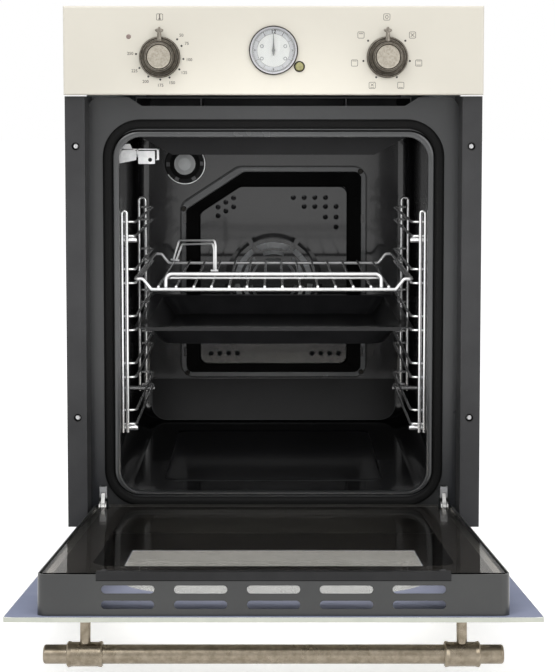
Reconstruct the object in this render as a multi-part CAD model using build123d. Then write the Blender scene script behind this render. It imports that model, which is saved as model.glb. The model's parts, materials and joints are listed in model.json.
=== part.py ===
from build123d import *
import math
import os

# Built-in oven, 45 cm wide, with an open drop-down door.
# X is to the right, Y is the depth behind the front of the control panel, Z is up from the base.
# save() moves each piece so that the origin lies in the middle of the base.
# The door is drawn closed and then turned open about its hinge pins.

# Outside of the oven
FACE_WIDTH = 449.0
OVERALL_HEIGHT = 595.0
PANEL_HEIGHT = 94.8
PANEL_DEPTH = 24.0
PANEL_WALL = 1.2
PANEL_EDGE_RADIUS = 2.2
CASING_INSET = 19.5
CASING_WIDTH = FACE_WIDTH - 2 * CASING_INSET
CASING_BELOW_TOP = 7.0
CASING_HEIGHT = OVERALL_HEIGHT - CASING_BELOW_TOP
CASING_SHEET = 1.0
CASING_REAR = 550.0
BASE_FRONT = 60.0
BASE_FLANGE = 16.0
FOOT_HOLE_RADIUS = 10.0
FOOT_HOLE_X = 150.0
FOOT_HOLE_INSET = 60.0
HALF_FACE = FACE_WIDTH / 2
HALF_CASING = CASING_WIDTH / 2
CASING_INSIDE = HALF_CASING - CASING_SHEET
PANEL_BOTTOM = OVERALL_HEIGHT - PANEL_HEIGHT
ORIGIN_DEPTH = (BASE_FRONT + CASING_REAR) / 2

# Air slots of the casing: length, width, pitch and the distance of the field from the top or front
SIDE_SLOT = 40.0
SIDE_SLOT_WIDTH = 4.0
SIDE_SLOT_PITCH = 12.0
SIDE_SLOT_ROWS = 5
SIDE_SLOT_BELOW_TOP = 78.0
SIDE_SLOT_DEPTHS = (380.0, 440.0)
REAR_SLOT = 50.0
REAR_SLOT_PITCH = 15.0
REAR_SLOT_ROWS = 4
REAR_SLOT_BELOW_TOP = 88.0
REAR_SLOT_SPACING = 60.0
TOP_SLOT = 60.0
TOP_SLOT_PITCH = 20.0
TOP_SLOT_ROWS = 6
TOP_SLOT_FRONT = 200.0
TOP_SLOT_SPACING = 120.0
SLOT_END = 5.0

# Front frame with the mouth and the channel of the door seal
FRAME_FACE = 44.0
FRAME_SHEET = 1.2
FRAME_BOTTOM = 30.0
FRAME_UNDER_PANEL = 2.2
FRAME_TOP = PANEL_BOTTOM - FRAME_UNDER_PANEL
FRAME_CORNER = 12.0
FRAME_NOTCH_HALF = 158.7
FRAME_NOTCH_SLOPE = 14.4
FRAME_NOTCH_DEPTH = 9.4
CASING_TO_CAVITY = 18.0
CAVITY_WIDTH = CASING_WIDTH - 2 * CASING_TO_CAVITY
MOUTH_LEDGE = 17.0
MOUTH_WIDTH = CAVITY_WIDTH - 2 * MOUTH_LEDGE
MOUTH_BOTTOM = 59.5
MOUTH_BELOW_FRAME = 43.5
MOUTH_TOP = FRAME_TOP - MOUTH_BELOW_FRAME
MOUTH_CORNER = 24.0
SEAL_LIP_SIDE = 7.1
SEAL_LIP_TOP = 9.0
SEAL_LIP_FOOT = 5.0
SEAL_WIDTH = 10.4
SEAL_DEPTH = 6.0

# Side trims with their screw ferrules
TRIM_FACE = 8.8
TRIM_SHEET = 1.2
TRIM_BOTTOM = 29.5
TRIM_UNDER_PANEL = 1.2
TRIM_TOP = PANEL_BOTTOM - TRIM_UNDER_PANEL
TRIM_REACH = 36.0
TRIM_LIP = 4.0
SCREW_FROM_EDGE = 11.5
SCREW_SPACING_X = FACE_WIDTH - 2 * SCREW_FROM_EDGE
SCREW_HEIGHT_LOW = 150.2
SCREW_BELOW_TRIM = 53.7
SCREW_HEIGHT_HIGH = TRIM_TOP - SCREW_BELOW_TRIM
SCREW_BORE = 5.8
FERRULE_RING = 8.0
FERRULE_HEAD = 0.9

# Cavity
ROOF_ABOVE_MOUTH = 7.5
CAVITY_ROOF = MOUTH_TOP + ROOF_ABOVE_MOUTH
CAVITY_TO_REAR = 87.0
CAVITY_REAR = CASING_REAR - CAVITY_TO_REAR
CAVITY_WALL = 1.2
CAVITY_FOOT_RADIUS = 28.0
CAVITY_ROOF_RADIUS = 20.0
CAVITY_REAR_RADIUS = 18.0
REAR_PAN_DEPTH = 22.0
CHAMBER_WIDTH = 237.0
CHAMBER_BOTTOM = 126.0
CHAMBER_BELOW_ROOF = 63.0
CHAMBER_TOP = CAVITY_ROOF - CHAMBER_BELOW_ROOF
CHAMBER_CORNER = 8.0
CHAMBER_DEPTH = 30.0
CHAMFER_RUN = 78.0
CHAMFER_RISE = 51.0

# Fan cover and the hot-air fan behind it
COVER_RIM = 8.0
COVER_RIM_SHEET = 1.2
COVER_GAP = 19.0
COVER_GAP_FOOT = 12.5
COVER_STANDOFF = 12.0
COVER_FACE = CAVITY_REAR - COVER_STANDOFF
COVER_SHEET = 1.2
COVER_FOLD = 5.0
COVER_CORNER = 11.0
COVER_TAB = 12.0
LOW_TAB_RISE = 22.0
HIGH_TAB_DROP = 69.0
GRILLE_DROP = 11.5
GRILLE_HEIGHT = (CHAMBER_BOTTOM + CHAMBER_TOP) / 2 - GRILLE_DROP
GRILLE_SECTORS = 6
GRILLE_ROWS = ((28.5, 32.0, 20.0), (37.0, 42.0, 21.0), (46.0, 53.0, 26.0), (59.0, 66.0, 27.0))
COVER_HOLE = 7.0
UPPER_HOLES_DROP = 28.0
LOWER_HOLES_RISE = 14.3
FAN_WHEEL_RADIUS = 55.0
FAN_WHEEL_DEPTH = 14.0
FAN_BLADES = 18
FAN_SHAFT = 6.0
RUNNING_GAP = 0.05
RING_HEATER_GAP = 25.0
RING_HEATER_RADIUS = FAN_WHEEL_RADIUS + RING_HEATER_GAP
HEATER_TUBE = 6.5
MOTOR_RADIUS = 33.0
MOTOR_LENGTH = 32.0

# Hood under the roof, lamp, temperature sensor
HOOD_FRONT = 95.0
HOOD_FROM_REAR = 63.0
HOOD_REAR = CAVITY_REAR - HOOD_FROM_REAR
HOOD_BELOW_ROOF = 28.4
HOOD_BOTTOM = CAVITY_ROOF - HOOD_BELOW_ROOF
HOOD_FOLD_RISE = 15.1
HOOD_MIDDLE = HOOD_BOTTOM + HOOD_FOLD_RISE
HOOD_FROM_WALL = 22.0
HOOD_HALF_TOP = CAVITY_WIDTH / 2 - HOOD_FROM_WALL
HOOD_UPPER_SLOPE = 24.0
HOOD_HALF_MIDDLE = HOOD_HALF_TOP - HOOD_UPPER_SLOPE
HOOD_LOWER_SLOPE = 27.0
HOOD_HALF_BOTTOM = HOOD_HALF_MIDDLE - HOOD_LOWER_SLOPE
HOOD_SHEET = 1.0
HOOD_FLANGE = 8.0
LAMP_X = -120.0
LAMP_BELOW_ROOF = 52.0
LAMP_HEIGHT = CAVITY_ROOF - LAMP_BELOW_ROOF
LAMP_RING_RADIUS = 27.5
LAMP_TUBE_RADIUS = 22.0
LAMP_DOME_RADIUS = 14.0
LAMP_DEPTH = 40.0
SENSOR_BELOW_ROOF = 20.0
SENSOR_HEIGHT = 24.0
SENSOR_BEHIND_HOOD_EDGE = 12.0
SENSOR_PLATE = 1.2
PROBE_RADIUS = 3.0
PROBE_LENGTH = 58.0

# Side ladders of bent wire
RUNNER_FROM_WALL = 32.0
LADDER_RUNNER_X = CAVITY_WIDTH / 2 - RUNNER_FROM_WALL
ROOT_FROM_WALL = 17.0
LADDER_ROOT_X = CAVITY_WIDTH / 2 - ROOT_FROM_WALL
LADDER_FRONT = 76.0
LADDER_FROM_REAR = 123.0
LADDER_REAR = CAVITY_REAR - LADDER_FROM_REAR
LADDER_WIRE = 3.0
LADDER_POST_WIRE = 4.0
WELD_SINK = 0.5
LADDER_LEVELS = 5
LADDER_LOWEST = 130.0
LADDER_PITCH = 53.3
LADDER_PAIR = 15.8
LADDER_BEND = 7.0
LADDER_HEIGHTS = [LADDER_LOWEST + i * LADDER_PITCH for i in range(LADDER_LEVELS)]
POST_BELOW_RUNNERS = 9.0
POST_ABOVE_RUNNERS = 12.0
POST_SETBACK = 9.5
FRONT_POST_SPACING = 5.5
REAR_POST_SPACING = 8.5
STUD_RADIUS = 3.0
STUD_REACH = 2.0
SEAT_GAP = 0.3

# Wire rack on the fourth level
RACK_LEVEL = 4
RACK_FRONT = 85.0
RACK_FROM_REAR = 70.0
RACK_DEPTH = CAVITY_REAR - RACK_FROM_REAR - RACK_FRONT
RACK_ON_RUNNER = 1.0
RACK_HALF = LADDER_RUNNER_X + RACK_ON_RUNNER
RACK_FRAME_WIRE = 4.2
RACK_DROP = 12.0
RACK_SHOULDER = 18.0
RACK_STRAIGHT_HALF = RACK_HALF - RACK_SHOULDER
RACK_BEND = 5.0
RACK_RUNS = 14
RUN_INSET = 8.0
RACK_PITCH = 2 * (RACK_STRAIGHT_HALF - RUN_INSET) / (RACK_RUNS - 1)
RACK_RUN_WIRE = 2.8
RACK_WELD = 0.5
STOP_BAR_INSET = 16.0
STOP_BAR_HALF = RACK_STRAIGHT_HALF - STOP_BAR_INSET
STOP_BAR_RISE = 17.0
STOP_BAR_WIRE = 4.4
STOP_BAR_SETBACK = 5.0
STOP_BAR_BEND = 7.0
THIN_BAR_RISE = 11.5
THIN_BAR_SETBACK = 15.0
THIN_BAR_BEND = 4.0

# Wire handle for lifting a hot tray, standing on the rack
GRIP_WIRE = 2.6
GRIP_PAIR = 4.4
GRIP_FROM_REAR = 25.0
GRIP_REAR_DEPTH = RACK_FRONT + RACK_DEPTH - GRIP_FROM_REAR
GRIP_SETBACK = 150.0
GRIP_FRONT_DEPTH = RACK_FRONT + GRIP_SETBACK
GRIP_LEAN = 8.0
GRIP_REAR_RISE = 26.0
GRIP_FRONT_RISE = 37.0
GRIP_BEND = 5.0
GRIP_REAR_RUN = 0
GRIP_FRONT_RUN = 3

# Baking tray on the third level
TRAY_LEVEL = 3
TRAY_FRONT = 80.0
TRAY_FROM_REAR = 63.0
TRAY_DEPTH = CAVITY_REAR - TRAY_FROM_REAR - TRAY_FRONT
TRAY_ON_RUNNER = 3.0
TRAY_HALF = LADDER_RUNNER_X + TRAY_ON_RUNNER
TRAY_SHEET = 1.0
TRAY_HEIGHT = 22.0
TRAY_RIM = 12.0
TRAY_WALL_SLOPE = 18.0
TRAY_CORNER = 22.0
TRAY_LIP = 3.0

# Door, drawn closed
DOOR_BOTTOM = 20.0
DOOR_UNDER_PANEL = 3.5
DOOR_TOP = PANEL_BOTTOM - DOOR_UNDER_PANEL
DOOR_GLASS = 4.0
DOOR_GLASS_CORNER = 3.0
LINER_INSET = 27.0
LINER_HALF = HALF_FACE - LINER_INSET
LINER_BOTTOM = 42.0
LINER_BELOW_TOP = 5.7
LINER_TOP = DOOR_TOP - LINER_BELOW_TOP
LINER_SHEET = 1.0
LINER_CORNER = 8.0
LINER_FLANGE = 12.0
LINER_EDGE = 3.5
INNER_GLASS_FACE = 39.0
INNER_GLASS_MARGIN = 4.0
INNER_GLASS_FOOT = 6.0
GLASS_NOTCH_WIDTH = 13.5
GLASS_NOTCH_HEIGHT = 22.0
SLOT_LENGTH = 44.3
SLOT_WIDTH = 6.7
SLOT_PITCH = 60.7
SLOT_COUNT = 5
SLOT_ROWS = (13.3, 25.9)
RAIL_INSET = 49.5
RAIL_HALF = LINER_HALF - RAIL_INSET
RAIL_SHEET = 1.5
RAIL_COVER = 6.0
BUFFER_INSET = 6.0
BUFFER_X = RAIL_HALF - BUFFER_INSET
BUFFER_RADIUS = 3.0
BUFFER_GAP = 1.0
DOOR_SCREW_RADIUS = 3.2
DOOR_SCREW_DEPTH = 22.0
DOOR_SCREW_DROPS = (30.0, 329.0, 221.0)

# Door handle
HANDLE_INSET = 30.5
HANDLE_LENGTH = FACE_WIDTH - 2 * HANDLE_INSET
HANDLE_DIAMETER = 16.0
HANDLE_REACH = 32.0
HANDLE_BELOW_TOP = 28.0
HANDLE_HEIGHT = DOOR_TOP - HANDLE_BELOW_TOP
COLLAR_FROM_END = 35.0
COLLAR_X = HANDLE_LENGTH / 2 - COLLAR_FROM_END
COLLAR_RADIUS = 11.0
COLLAR_LENGTH = 30.0
POST_RADIUS = 4.5
POST_FOOT_RADIUS = 8.0
POST_FOOT = 3.0

# Hinges
HINGE_INSET = 16.0
HINGE_X = HALF_CASING - HINGE_INSET
PIVOT_DEPTH = 35.0
PIVOT_HEIGHT = 44.0
DOOR_OPEN_ANGLE = 83.3
ARM_THICKNESS = 4.0
ARM_EYE_RADIUS = 7.0
ARM_RISE = 16.0
ARM_TOP = PIVOT_HEIGHT + ARM_RISE
ARM_REAR = 90.0
CHEEK_GAP = 0.5
CHEEK_SHEET = 1.5
CHEEK_EYE_RADIUS = 7.5
CHEEK_FRONT = 12.0
CHEEK_BACK = 33.0
CHEEK_LENGTH = 196.0
HINGE_PIN_RADIUS = 3.0
HINGE_SLOT_RISE = 2.0
HINGE_SLOT_HEIGHT = 18.0
HINGE_SLOT_BOTTOM = PIVOT_HEIGHT + HINGE_SLOT_RISE
HINGE_SLOT_TOP = HINGE_SLOT_BOTTOM + HINGE_SLOT_HEIGHT
RECEIVER_SHEET = 1.2
RECEIVER_LENGTH = 50.0
RECEIVER_FLANGE = 5.0
LATCH_FROM_FRAME = 3.5
LATCH_DEPTH = FRAME_FACE - LATCH_FROM_FRAME
LATCH_RISE = 12.0
LATCH_HEIGHT = PIVOT_HEIGHT + LATCH_RISE
LATCH_PIN_RADIUS = 1.5
LATCH_LENGTH = 11.0
LATCH_SHEET = 1.4

# Control panel, knobs and clock
KNOB_X = 121.3
KNOB_BELOW_TOP = 54.6
KNOB_HEIGHT = OVERALL_HEIGHT - KNOB_BELOW_TOP
KNOB_STANDOFF = 0.5
KNOB_CAP_RADIUS = 12.5
KNOB_RIM = 3.2
KNOB_BODY_RADIUS = KNOB_CAP_RADIUS + KNOB_RIM
KNOB_SKIRT_STEP = 6.3
KNOB_SKIRT_RADIUS = KNOB_BODY_RADIUS + KNOB_SKIRT_STEP
KNOB_DEPTH = 16.0
CAP_DEPTH = 3.6
POINTER_REACH = 10.0
POINTER_TIP = KNOB_SKIRT_RADIUS + POINTER_REACH
POINTER_STEM = 4.9
POINTER_FINIAL = 8.3
SHAFT_RADIUS = 3.0
SHAFT_REAR = 40.0
BUSHING_RADIUS = 5.0
SWITCH_SIZE = 38.0
SWITCH_DEPTH = 26.0
CLOCK_BELOW_TOP = 47.3
CLOCK_HEIGHT = OVERALL_HEIGHT - CLOCK_BELOW_TOP
BEZEL_RADIUS = 26.2
BEZEL_WALL = 2.8
BEZEL_FRONT = 3.6
BEZEL_LIP = 2.2
CLOCK_BARREL_RADIUS = BEZEL_RADIUS - BEZEL_LIP
CLOCK_BARREL_WALL = 1.4
MOVEMENT_FRONT = 4.0
MOVEMENT_RADIUS = 18.0
DIAL_SHEET = 0.8
HOUR_HAND_LENGTH = 12.0
MINUTE_HAND_LENGTH = 18.0
HOUR_TUBE_RADIUS = 1.2
MINUTE_ARBOR_RADIUS = 0.6
HAND_SHEET = 0.4
CLOCK_KNOB_X = 27.6
CLOCK_KNOB_DROP = 17.2
CLOCK_KNOB_HEIGHT = CLOCK_HEIGHT - CLOCK_KNOB_DROP
CLOCK_KNOB_RADIUS = 4.5
CLOCK_KNOB_LENGTH = 5.4
COLLAR_WALL = 1.4
CLOCK_COLLAR_RADIUS = CLOCK_KNOB_RADIUS + COLLAR_WALL
CLOCK_STEM_RADIUS = 2.0
INDICATOR_OFFSET = 33.2
INDICATOR_X = -KNOB_X - INDICATOR_OFFSET
INDICATOR_BELOW_TOP = 32.7
INDICATOR_HEIGHT = OVERALL_HEIGHT - INDICATOR_BELOW_TOP
INDICATOR_RADIUS = 2.6
BRACKET_SHEET = 1.2
BRACKET_MARGIN = 0.6
BRACKET_RETURN = 40.0

# Cooling fan above the cavity
SHELF_UNDER_FRAME = 17.0
SHELF_HEIGHT = FRAME_TOP - SHELF_UNDER_FRAME
DUCT_HEIGHT = 16.0
DUCT_ROOF = SHELF_HEIGHT + DUCT_HEIGHT
FAN_MOTOR_ROOM = 54.0
DUCT_HALF = CASING_INSIDE - FAN_MOTOR_ROOM
DUCT_SHEET = 1.0
DUCT_RIB_X = 79.5
DUCT_FRONT = 46.0
ROTOR_DEPTH = 250.0
ROTOR_RISE = 33.0
ROTOR_HEIGHT = DUCT_ROOF + ROTOR_RISE
ROTOR_RADIUS = 25.0
ROTOR_INSET = 10.0
ROTOR_HALF = DUCT_HALF - ROTOR_INSET
ROTOR_BLADES = 16
SCROLL_GAP = 7.0
COOLING_MOTOR_RADIUS = 22.0
COOLING_MOTOR_LENGTH = 34.0

# Insulation, lower heater, mains inlet
WOOL_FRONT = 100.0
WOOL_FROM_REAR = 23.0
WOOL_REAR = CAVITY_REAR - WOOL_FROM_REAR
WOOL_BOTTOM = 34.0
WOOL_SIDE_GAP = 0.7
WOOL_INNER_GAP = 0.4
WOOL_FOOT_GAP = 10.0
WOOL_OVER_ROOF = 16.0
WOOL_TOP = CAVITY_ROOF + WOOL_OVER_ROOF
LOWER_HEATER_INSET = 57.0
LOWER_HEATER_HALF = CAVITY_WIDTH / 2 - LOWER_HEATER_INSET
LOWER_HEATER_FRONT = 130.0
HEATER_FROM_REAR = 63.0
LOWER_HEATER_REAR = CAVITY_REAR - HEATER_FROM_REAR
GRILL_HEATER_INSET = 14.0
GRILL_HEATER_HALF = HOOD_HALF_BOTTOM - GRILL_HEATER_INSET
TERMINAL_WIDTH = 60.0
TERMINAL_HEIGHT = 45.0
TERMINAL_DEPTH = 14.0
TERMINAL_INSET = 75.0
TERMINAL_X = HALF_CASING - TERMINAL_INSET
TERMINAL_BOTTOM = 60.0

# Places worked out from the sizes above
FRAME_HALF = CASING_INSIDE - TRIM_SHEET
FRAME_BACK = FRAME_FACE + FRAME_SHEET
MOUTH_HALF = MOUTH_WIDTH / 2
CAVITY_HALF = CAVITY_WIDTH / 2
CHANNEL_BACK = FRAME_FACE + SEAL_DEPTH
CHANNEL_REAR = CHANNEL_BACK + CASING_SHEET


def rectangle(x0, x1, y0, y1, radius=0):
    """Rectangle between two corners of a drawing plane, with round corners if a radius is given."""
    width = x1 - x0
    height = y1 - y0
    shape = RectangleRounded(width, height, radius) if radius else Rectangle(width, height)
    return Pos((x0 + x1) / 2, (y0 + y1) / 2) * shape


def outline(*points, radius=0):
    """Polygon through the points, with every corner rounded if a radius is given."""
    shape = make_face(Polyline(*points, close=True))
    return fillet(shape.vertices(), radius) if radius else shape


def front_view(sketch, near, far):
    """Extrude a drawing in x and z between two depths."""
    return extrude(Plane.XZ.offset(-far) * sketch, amount=far - near)


def side_view(sketch, left, right):
    """Extrude a drawing in depth and z between two x values."""
    return extrude(Plane.YZ.offset(left) * sketch, amount=right - left)


def plan_view(sketch, low, high):
    """Extrude a drawing in x and depth between two heights."""
    return extrude(Plane.XY.offset(low) * sketch, amount=high - low)


def block(x0, x1, y0, y1, z0, z1):
    """Plain block between two corners."""
    return plan_view(rectangle(x0, x1, y0, y1), z0, z1)


def disc(x, z, radius, near, far):
    """Cylinder along the depth axis."""
    return front_view(Pos(x, z) * Circle(radius), near, far)


def turned(points, x, z):
    """Turn a profile of (radius, depth) points about the depth axis through x and z."""
    return Pos(x, 0, z) * revolve(outline(*points), Axis.Y, 360)


def wire(points, diameter, bend=0):
    """Round wire along a bent line."""
    path = FilletPolyline(*points, radius=bend) if bend else Polyline(*points)
    section = Plane(origin=path @ 0, z_dir=path % 0) * Circle(diameter / 2)
    return sweep(section, path=path)


def mirrored(shape):
    """The same shape on the other side of the oven."""
    return mirror(shape, about=Plane.YZ)


def both_sides(shape):
    """A shape and its mirror image as separate solids."""
    return [shape, mirrored(shape)]


def along_x(shape, places):
    """Copies of a shape at the given x values."""
    return [Pos(x, 0, 0) * shape for x in places]


def door_open(shape):
    """Turn a piece of the closed door about the hinge pins into its open place."""
    to_pivot = Pos(0, PIVOT_DEPTH, PIVOT_HEIGHT)
    return to_pivot * Rot(DOOR_OPEN_ANGLE, 0, 0) * to_pivot.inverse() * shape


def save(shape, name):
    """Write one sub-part, moved so that the origin is in the middle of the base."""
    solids = shape if isinstance(shape, list) else shape.solids()
    moved = [Pos(0, -ORIGIN_DEPTH, 0) * solid for piece in solids for solid in piece.solids()]
    export_step(moved[0] if len(moved) == 1 else Compound(moved), f"parts/{name}.step")


# Casing


def base_pan():
    """Floor with side upstands, and a front upstand whose flange carries the front frame."""
    top = CASING_SHEET
    floor = block(-CASING_INSIDE, CASING_INSIDE, BASE_FRONT, CASING_REAR, 0, top)
    left = -CASING_INSIDE
    side = block(left, left + CASING_SHEET, BASE_FRONT + CASING_SHEET, CASING_REAR - CASING_SHEET,
                 top, BASE_FLANGE)
    step = [(BASE_FRONT, 0), (BASE_FRONT + CASING_SHEET, 0), (BASE_FRONT + CASING_SHEET, FRAME_BOTTOM),
            (DUCT_FRONT, FRAME_BOTTOM), (DUCT_FRONT, FRAME_BOTTOM - CASING_SHEET),
            (BASE_FRONT, FRAME_BOTTOM - CASING_SHEET)]
    front = side_view(outline(*step), -FRAME_HALF, FRAME_HALF)
    hole = Cylinder(FOOT_HOLE_RADIUS, 4 * CASING_SHEET)
    depths = (BASE_FRONT + FOOT_HOLE_INSET, CASING_REAR - FOOT_HOLE_INSET)
    holes = [Pos(x, depth, top / 2) * hole for x in (-FOOT_HOLE_X, FOOT_HOLE_X) for depth in depths]
    return floor + side + mirrored(side) + front - holes


def casing_side():
    """Left side panel, cut back at the foot where the open door swings under it."""
    shape = outline((BASE_FRONT, 0), (CASING_REAR, 0), (CASING_REAR, CASING_HEIGHT),
                    (DUCT_FRONT, CASING_HEIGHT), (DUCT_FRONT, FRAME_BOTTOM), (BASE_FRONT, FRAME_BOTTOM))
    panel = side_view(shape, -HALF_CASING, -CASING_INSIDE)
    lowest = CASING_HEIGHT - SIDE_SLOT_BELOW_TOP
    slot = block(-HALF_CASING - 1, -CASING_INSIDE + 1, 0, SIDE_SLOT, lowest, lowest + SIDE_SLOT_WIDTH)
    slots = [Pos(0, depth, row * SIDE_SLOT_PITCH) * slot
             for depth in SIDE_SLOT_DEPTHS for row in range(SIDE_SLOT_ROWS)]
    return panel - slots


def casing_rear():
    """Rear panel between the side panels, with a field of air slots."""
    near = CASING_REAR - CASING_SHEET
    panel = block(-CASING_INSIDE, CASING_INSIDE, near, CASING_REAR, CASING_SHEET,
                  CASING_HEIGHT - CASING_SHEET)
    lowest = CASING_HEIGHT - REAR_SLOT_BELOW_TOP
    slot = front_view(Pos(0, lowest) * SlotOverall(REAR_SLOT, SLOT_END), near - 1, CASING_REAR + 1)
    slots = [Pos(column * REAR_SLOT_SPACING, 0, row * REAR_SLOT_PITCH) * slot
             for column in range(-2, 3) for row in range(REAR_SLOT_ROWS)]
    return panel - slots


def casing_top():
    """Top cover between the side panels, with a field of air slots."""
    low = CASING_HEIGHT - CASING_SHEET
    cover = block(-CASING_INSIDE, CASING_INSIDE, DUCT_FRONT, CASING_REAR, low, CASING_HEIGHT)
    slot = plan_view(Pos(0, TOP_SLOT_FRONT) * SlotOverall(TOP_SLOT, SLOT_END), low - 1, CASING_HEIGHT + 1)
    slots = [Pos(column * TOP_SLOT_SPACING, row * TOP_SLOT_PITCH, 0) * slot
             for column in range(-1, 2) for row in range(TOP_SLOT_ROWS)]
    return cover - slots


def terminal_block():
    """Mains inlet on the rear panel: a hollow cover with a cord hole in its lower wall."""
    x0 = TERMINAL_X - TERMINAL_WIDTH / 2
    x1 = TERMINAL_X + TERMINAL_WIDTH / 2
    z1 = TERMINAL_BOTTOM + TERMINAL_HEIGHT
    rear = CASING_REAR + TERMINAL_DEPTH
    wall = 1.5
    cover = front_view(rectangle(x0, x1, TERMINAL_BOTTOM, z1, 4), CASING_REAR, rear)
    hollow = front_view(rectangle(x0 + wall, x1 - wall, TERMINAL_BOTTOM + wall, z1 - wall, 3),
                        CASING_REAR - 1, rear - wall)
    cord_hole = Pos(TERMINAL_X, CASING_REAR + TERMINAL_DEPTH / 2, TERMINAL_BOTTOM) * Cylinder(4.5, 8)
    strip = block(x0 + 10, x1 - 10, CASING_REAR, CASING_REAR + 8, TERMINAL_BOTTOM + 24, z1 - 6)
    return [cover - hollow - cord_hole, strip]


# Front frame, door seal and side trims


def mouth(grow_side=0, grow_top=0, grow_foot=0):
    """Outline of the oven mouth, grown by the given margins."""
    return rectangle(-MOUTH_HALF - grow_side, MOUTH_HALF + grow_side, MOUTH_BOTTOM - grow_foot,
                     MOUTH_TOP + grow_top, MOUTH_CORNER + grow_side)


def seal_line(extra):
    """Outline of the inner edge of the seal channel, grown evenly by extra."""
    return mouth(SEAL_LIP_SIDE + extra, SEAL_LIP_TOP + extra, SEAL_LIP_FOOT + extra)


def front_frame():
    """Pressed frame: face with mouth, seal channel, hinge slots, collar and foot flange."""
    foot_of_slope = FRAME_NOTCH_HALF - FRAME_NOTCH_SLOPE
    notch_floor = FRAME_TOP - FRAME_NOTCH_DEPTH
    face = outline((-FRAME_HALF, FRAME_BOTTOM), (FRAME_HALF, FRAME_BOTTOM), (FRAME_HALF, FRAME_TOP),
                   (FRAME_NOTCH_HALF, FRAME_TOP), (foot_of_slope, notch_floor),
                   (-foot_of_slope, notch_floor), (-FRAME_NOTCH_HALF, FRAME_TOP), (-FRAME_HALF, FRAME_TOP))
    upper = [v for v in face.vertices() if v.Y > notch_floor - 1]
    outer = [v for v in upper if abs(v.X) > FRAME_NOTCH_HALF + 1]
    face = fillet(outer, FRAME_CORNER)
    ring = seal_line(SEAL_WIDTH) - seal_line(0)
    plate = front_view(face - mouth() - ring, FRAME_FACE, FRAME_BACK)
    wall = CASING_SHEET
    channel = (front_view(seal_line(SEAL_WIDTH + wall) - seal_line(-wall), FRAME_FACE, CHANNEL_REAR)
               - front_view(ring, FRAME_FACE - 1, CHANNEL_BACK))
    collar = front_view(mouth(wall, wall, wall) - mouth(), FRAME_FACE, CHANNEL_REAR)
    foot = block(-FRAME_HALF, FRAME_HALF, FRAME_FACE, BASE_FRONT, FRAME_BOTTOM, FRAME_BOTTOM + FRAME_SHEET)
    slot = front_view(rectangle(*slot_sides(), HINGE_SLOT_BOTTOM, HINGE_SLOT_TOP), FRAME_FACE - 1,
                      FRAME_BACK + 1)
    return plate + channel + collar + foot - slot - mirrored(slot)


def slot_sides():
    """Left hinge slot of the frame, from its outer to its inner x."""
    half = ARM_THICKNESS / 2 + CHEEK_GAP + CHEEK_SHEET + CHEEK_GAP
    return -HINGE_X - half, -HINGE_X + half


def door_gasket():
    """Rubber bulb lying in the seal channel."""
    ring = seal_line(SEAL_WIDTH) - seal_line(0)
    bulb = front_view(ring, INNER_GLASS_FACE + SEAT_GAP, CHANNEL_BACK)
    front = bulb.faces().sort_by(Axis.Y)[0]
    return fillet(front.edges(), SEAL_WIDTH * 0.4)


def side_trim():
    """Left trim: face strip, outer lip, and a return that runs back inside the casing."""
    return_rear = FRAME_FACE + TRIM_REACH
    outer = -HALF_FACE
    strip = block(outer, -FRAME_HALF, TRIM_FACE, TRIM_FACE + TRIM_SHEET, TRIM_BOTTOM, TRIM_TOP)
    lip = block(outer, outer + TRIM_SHEET, TRIM_FACE, TRIM_FACE + TRIM_LIP, TRIM_BOTTOM, TRIM_TOP)
    back = block(-CASING_INSIDE, -FRAME_HALF, TRIM_FACE, return_rear, TRIM_BOTTOM, TRIM_TOP)
    shape = strip + lip + back
    corner = shape.edges().filter_by(Axis.Z).group_by(Axis.Y)[0]
    shape = fillet(corner, 0.9)
    holes = [disc(-SCREW_SPACING_X / 2, z, SCREW_BORE / 2 + FERRULE_HEAD / 3, TRIM_FACE - 1,
                  TRIM_FACE + TRIM_SHEET + 1) for z in (SCREW_HEIGHT_LOW, SCREW_HEIGHT_HIGH)]
    return shape - holes


def trim_ferrules():
    """Four black rings that line the screw holes of the trims."""
    bore = SCREW_BORE / 2
    front = TRIM_FACE - FERRULE_HEAD
    rear = TRIM_FACE + TRIM_SHEET + FERRULE_HEAD
    sleeve = bore + FERRULE_HEAD / 3
    profile = [(bore, front), (FERRULE_RING / 2, front), (FERRULE_RING / 2, TRIM_FACE),
               (sleeve, TRIM_FACE), (sleeve, rear), (bore, rear)]
    places = [(x, z) for x in (-SCREW_SPACING_X / 2, SCREW_SPACING_X / 2)
              for z in (SCREW_HEIGHT_LOW, SCREW_HEIGHT_HIGH)]
    return [turned(profile, x, z) for x, z in places]


# Cavity


def cavity_section(grow):
    """Cross-section of the cavity, grown evenly: wide fillets at the floor, smaller at the roof."""
    low = MOUTH_BOTTOM - grow
    high = CAVITY_ROOF + grow
    half = CAVITY_HALF + grow
    shape = outline((-half, low), (half, low), (half, high), (-half, high))
    feet = shape.vertices().sort_by(Axis.Y)[:2]
    shape = fillet(feet, CAVITY_FOOT_RADIUS + grow)
    top = [v for v in shape.vertices() if v.Y > high - 1]
    return fillet(top, CAVITY_ROOF_RADIUS + grow)


def muffle_wrap():
    """Floor, sides and roof of the cavity with the flange that lies against the front frame."""
    rear = CAVITY_REAR - REAR_PAN_DEPTH
    tube = front_view(cavity_section(CAVITY_WALL) - cavity_section(0), CHANNEL_REAR, rear)
    flange = front_view(cavity_section(CAVITY_WALL) - mouth(), CHANNEL_REAR, CHANNEL_REAR + CAVITY_WALL)
    return tube + flange


def chamber_outline(grow):
    """Outline of the fan chamber with its slanted upper left corner."""
    half = CHAMBER_WIDTH / 2 + grow
    low = CHAMBER_BOTTOM - grow
    high = CHAMBER_TOP + grow
    return outline((-half, low), (half, low), (half, high), (-half + CHAMFER_RUN, high),
                   (-half, high - CHAMFER_RISE), radius=CHAMBER_CORNER + grow)


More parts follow.
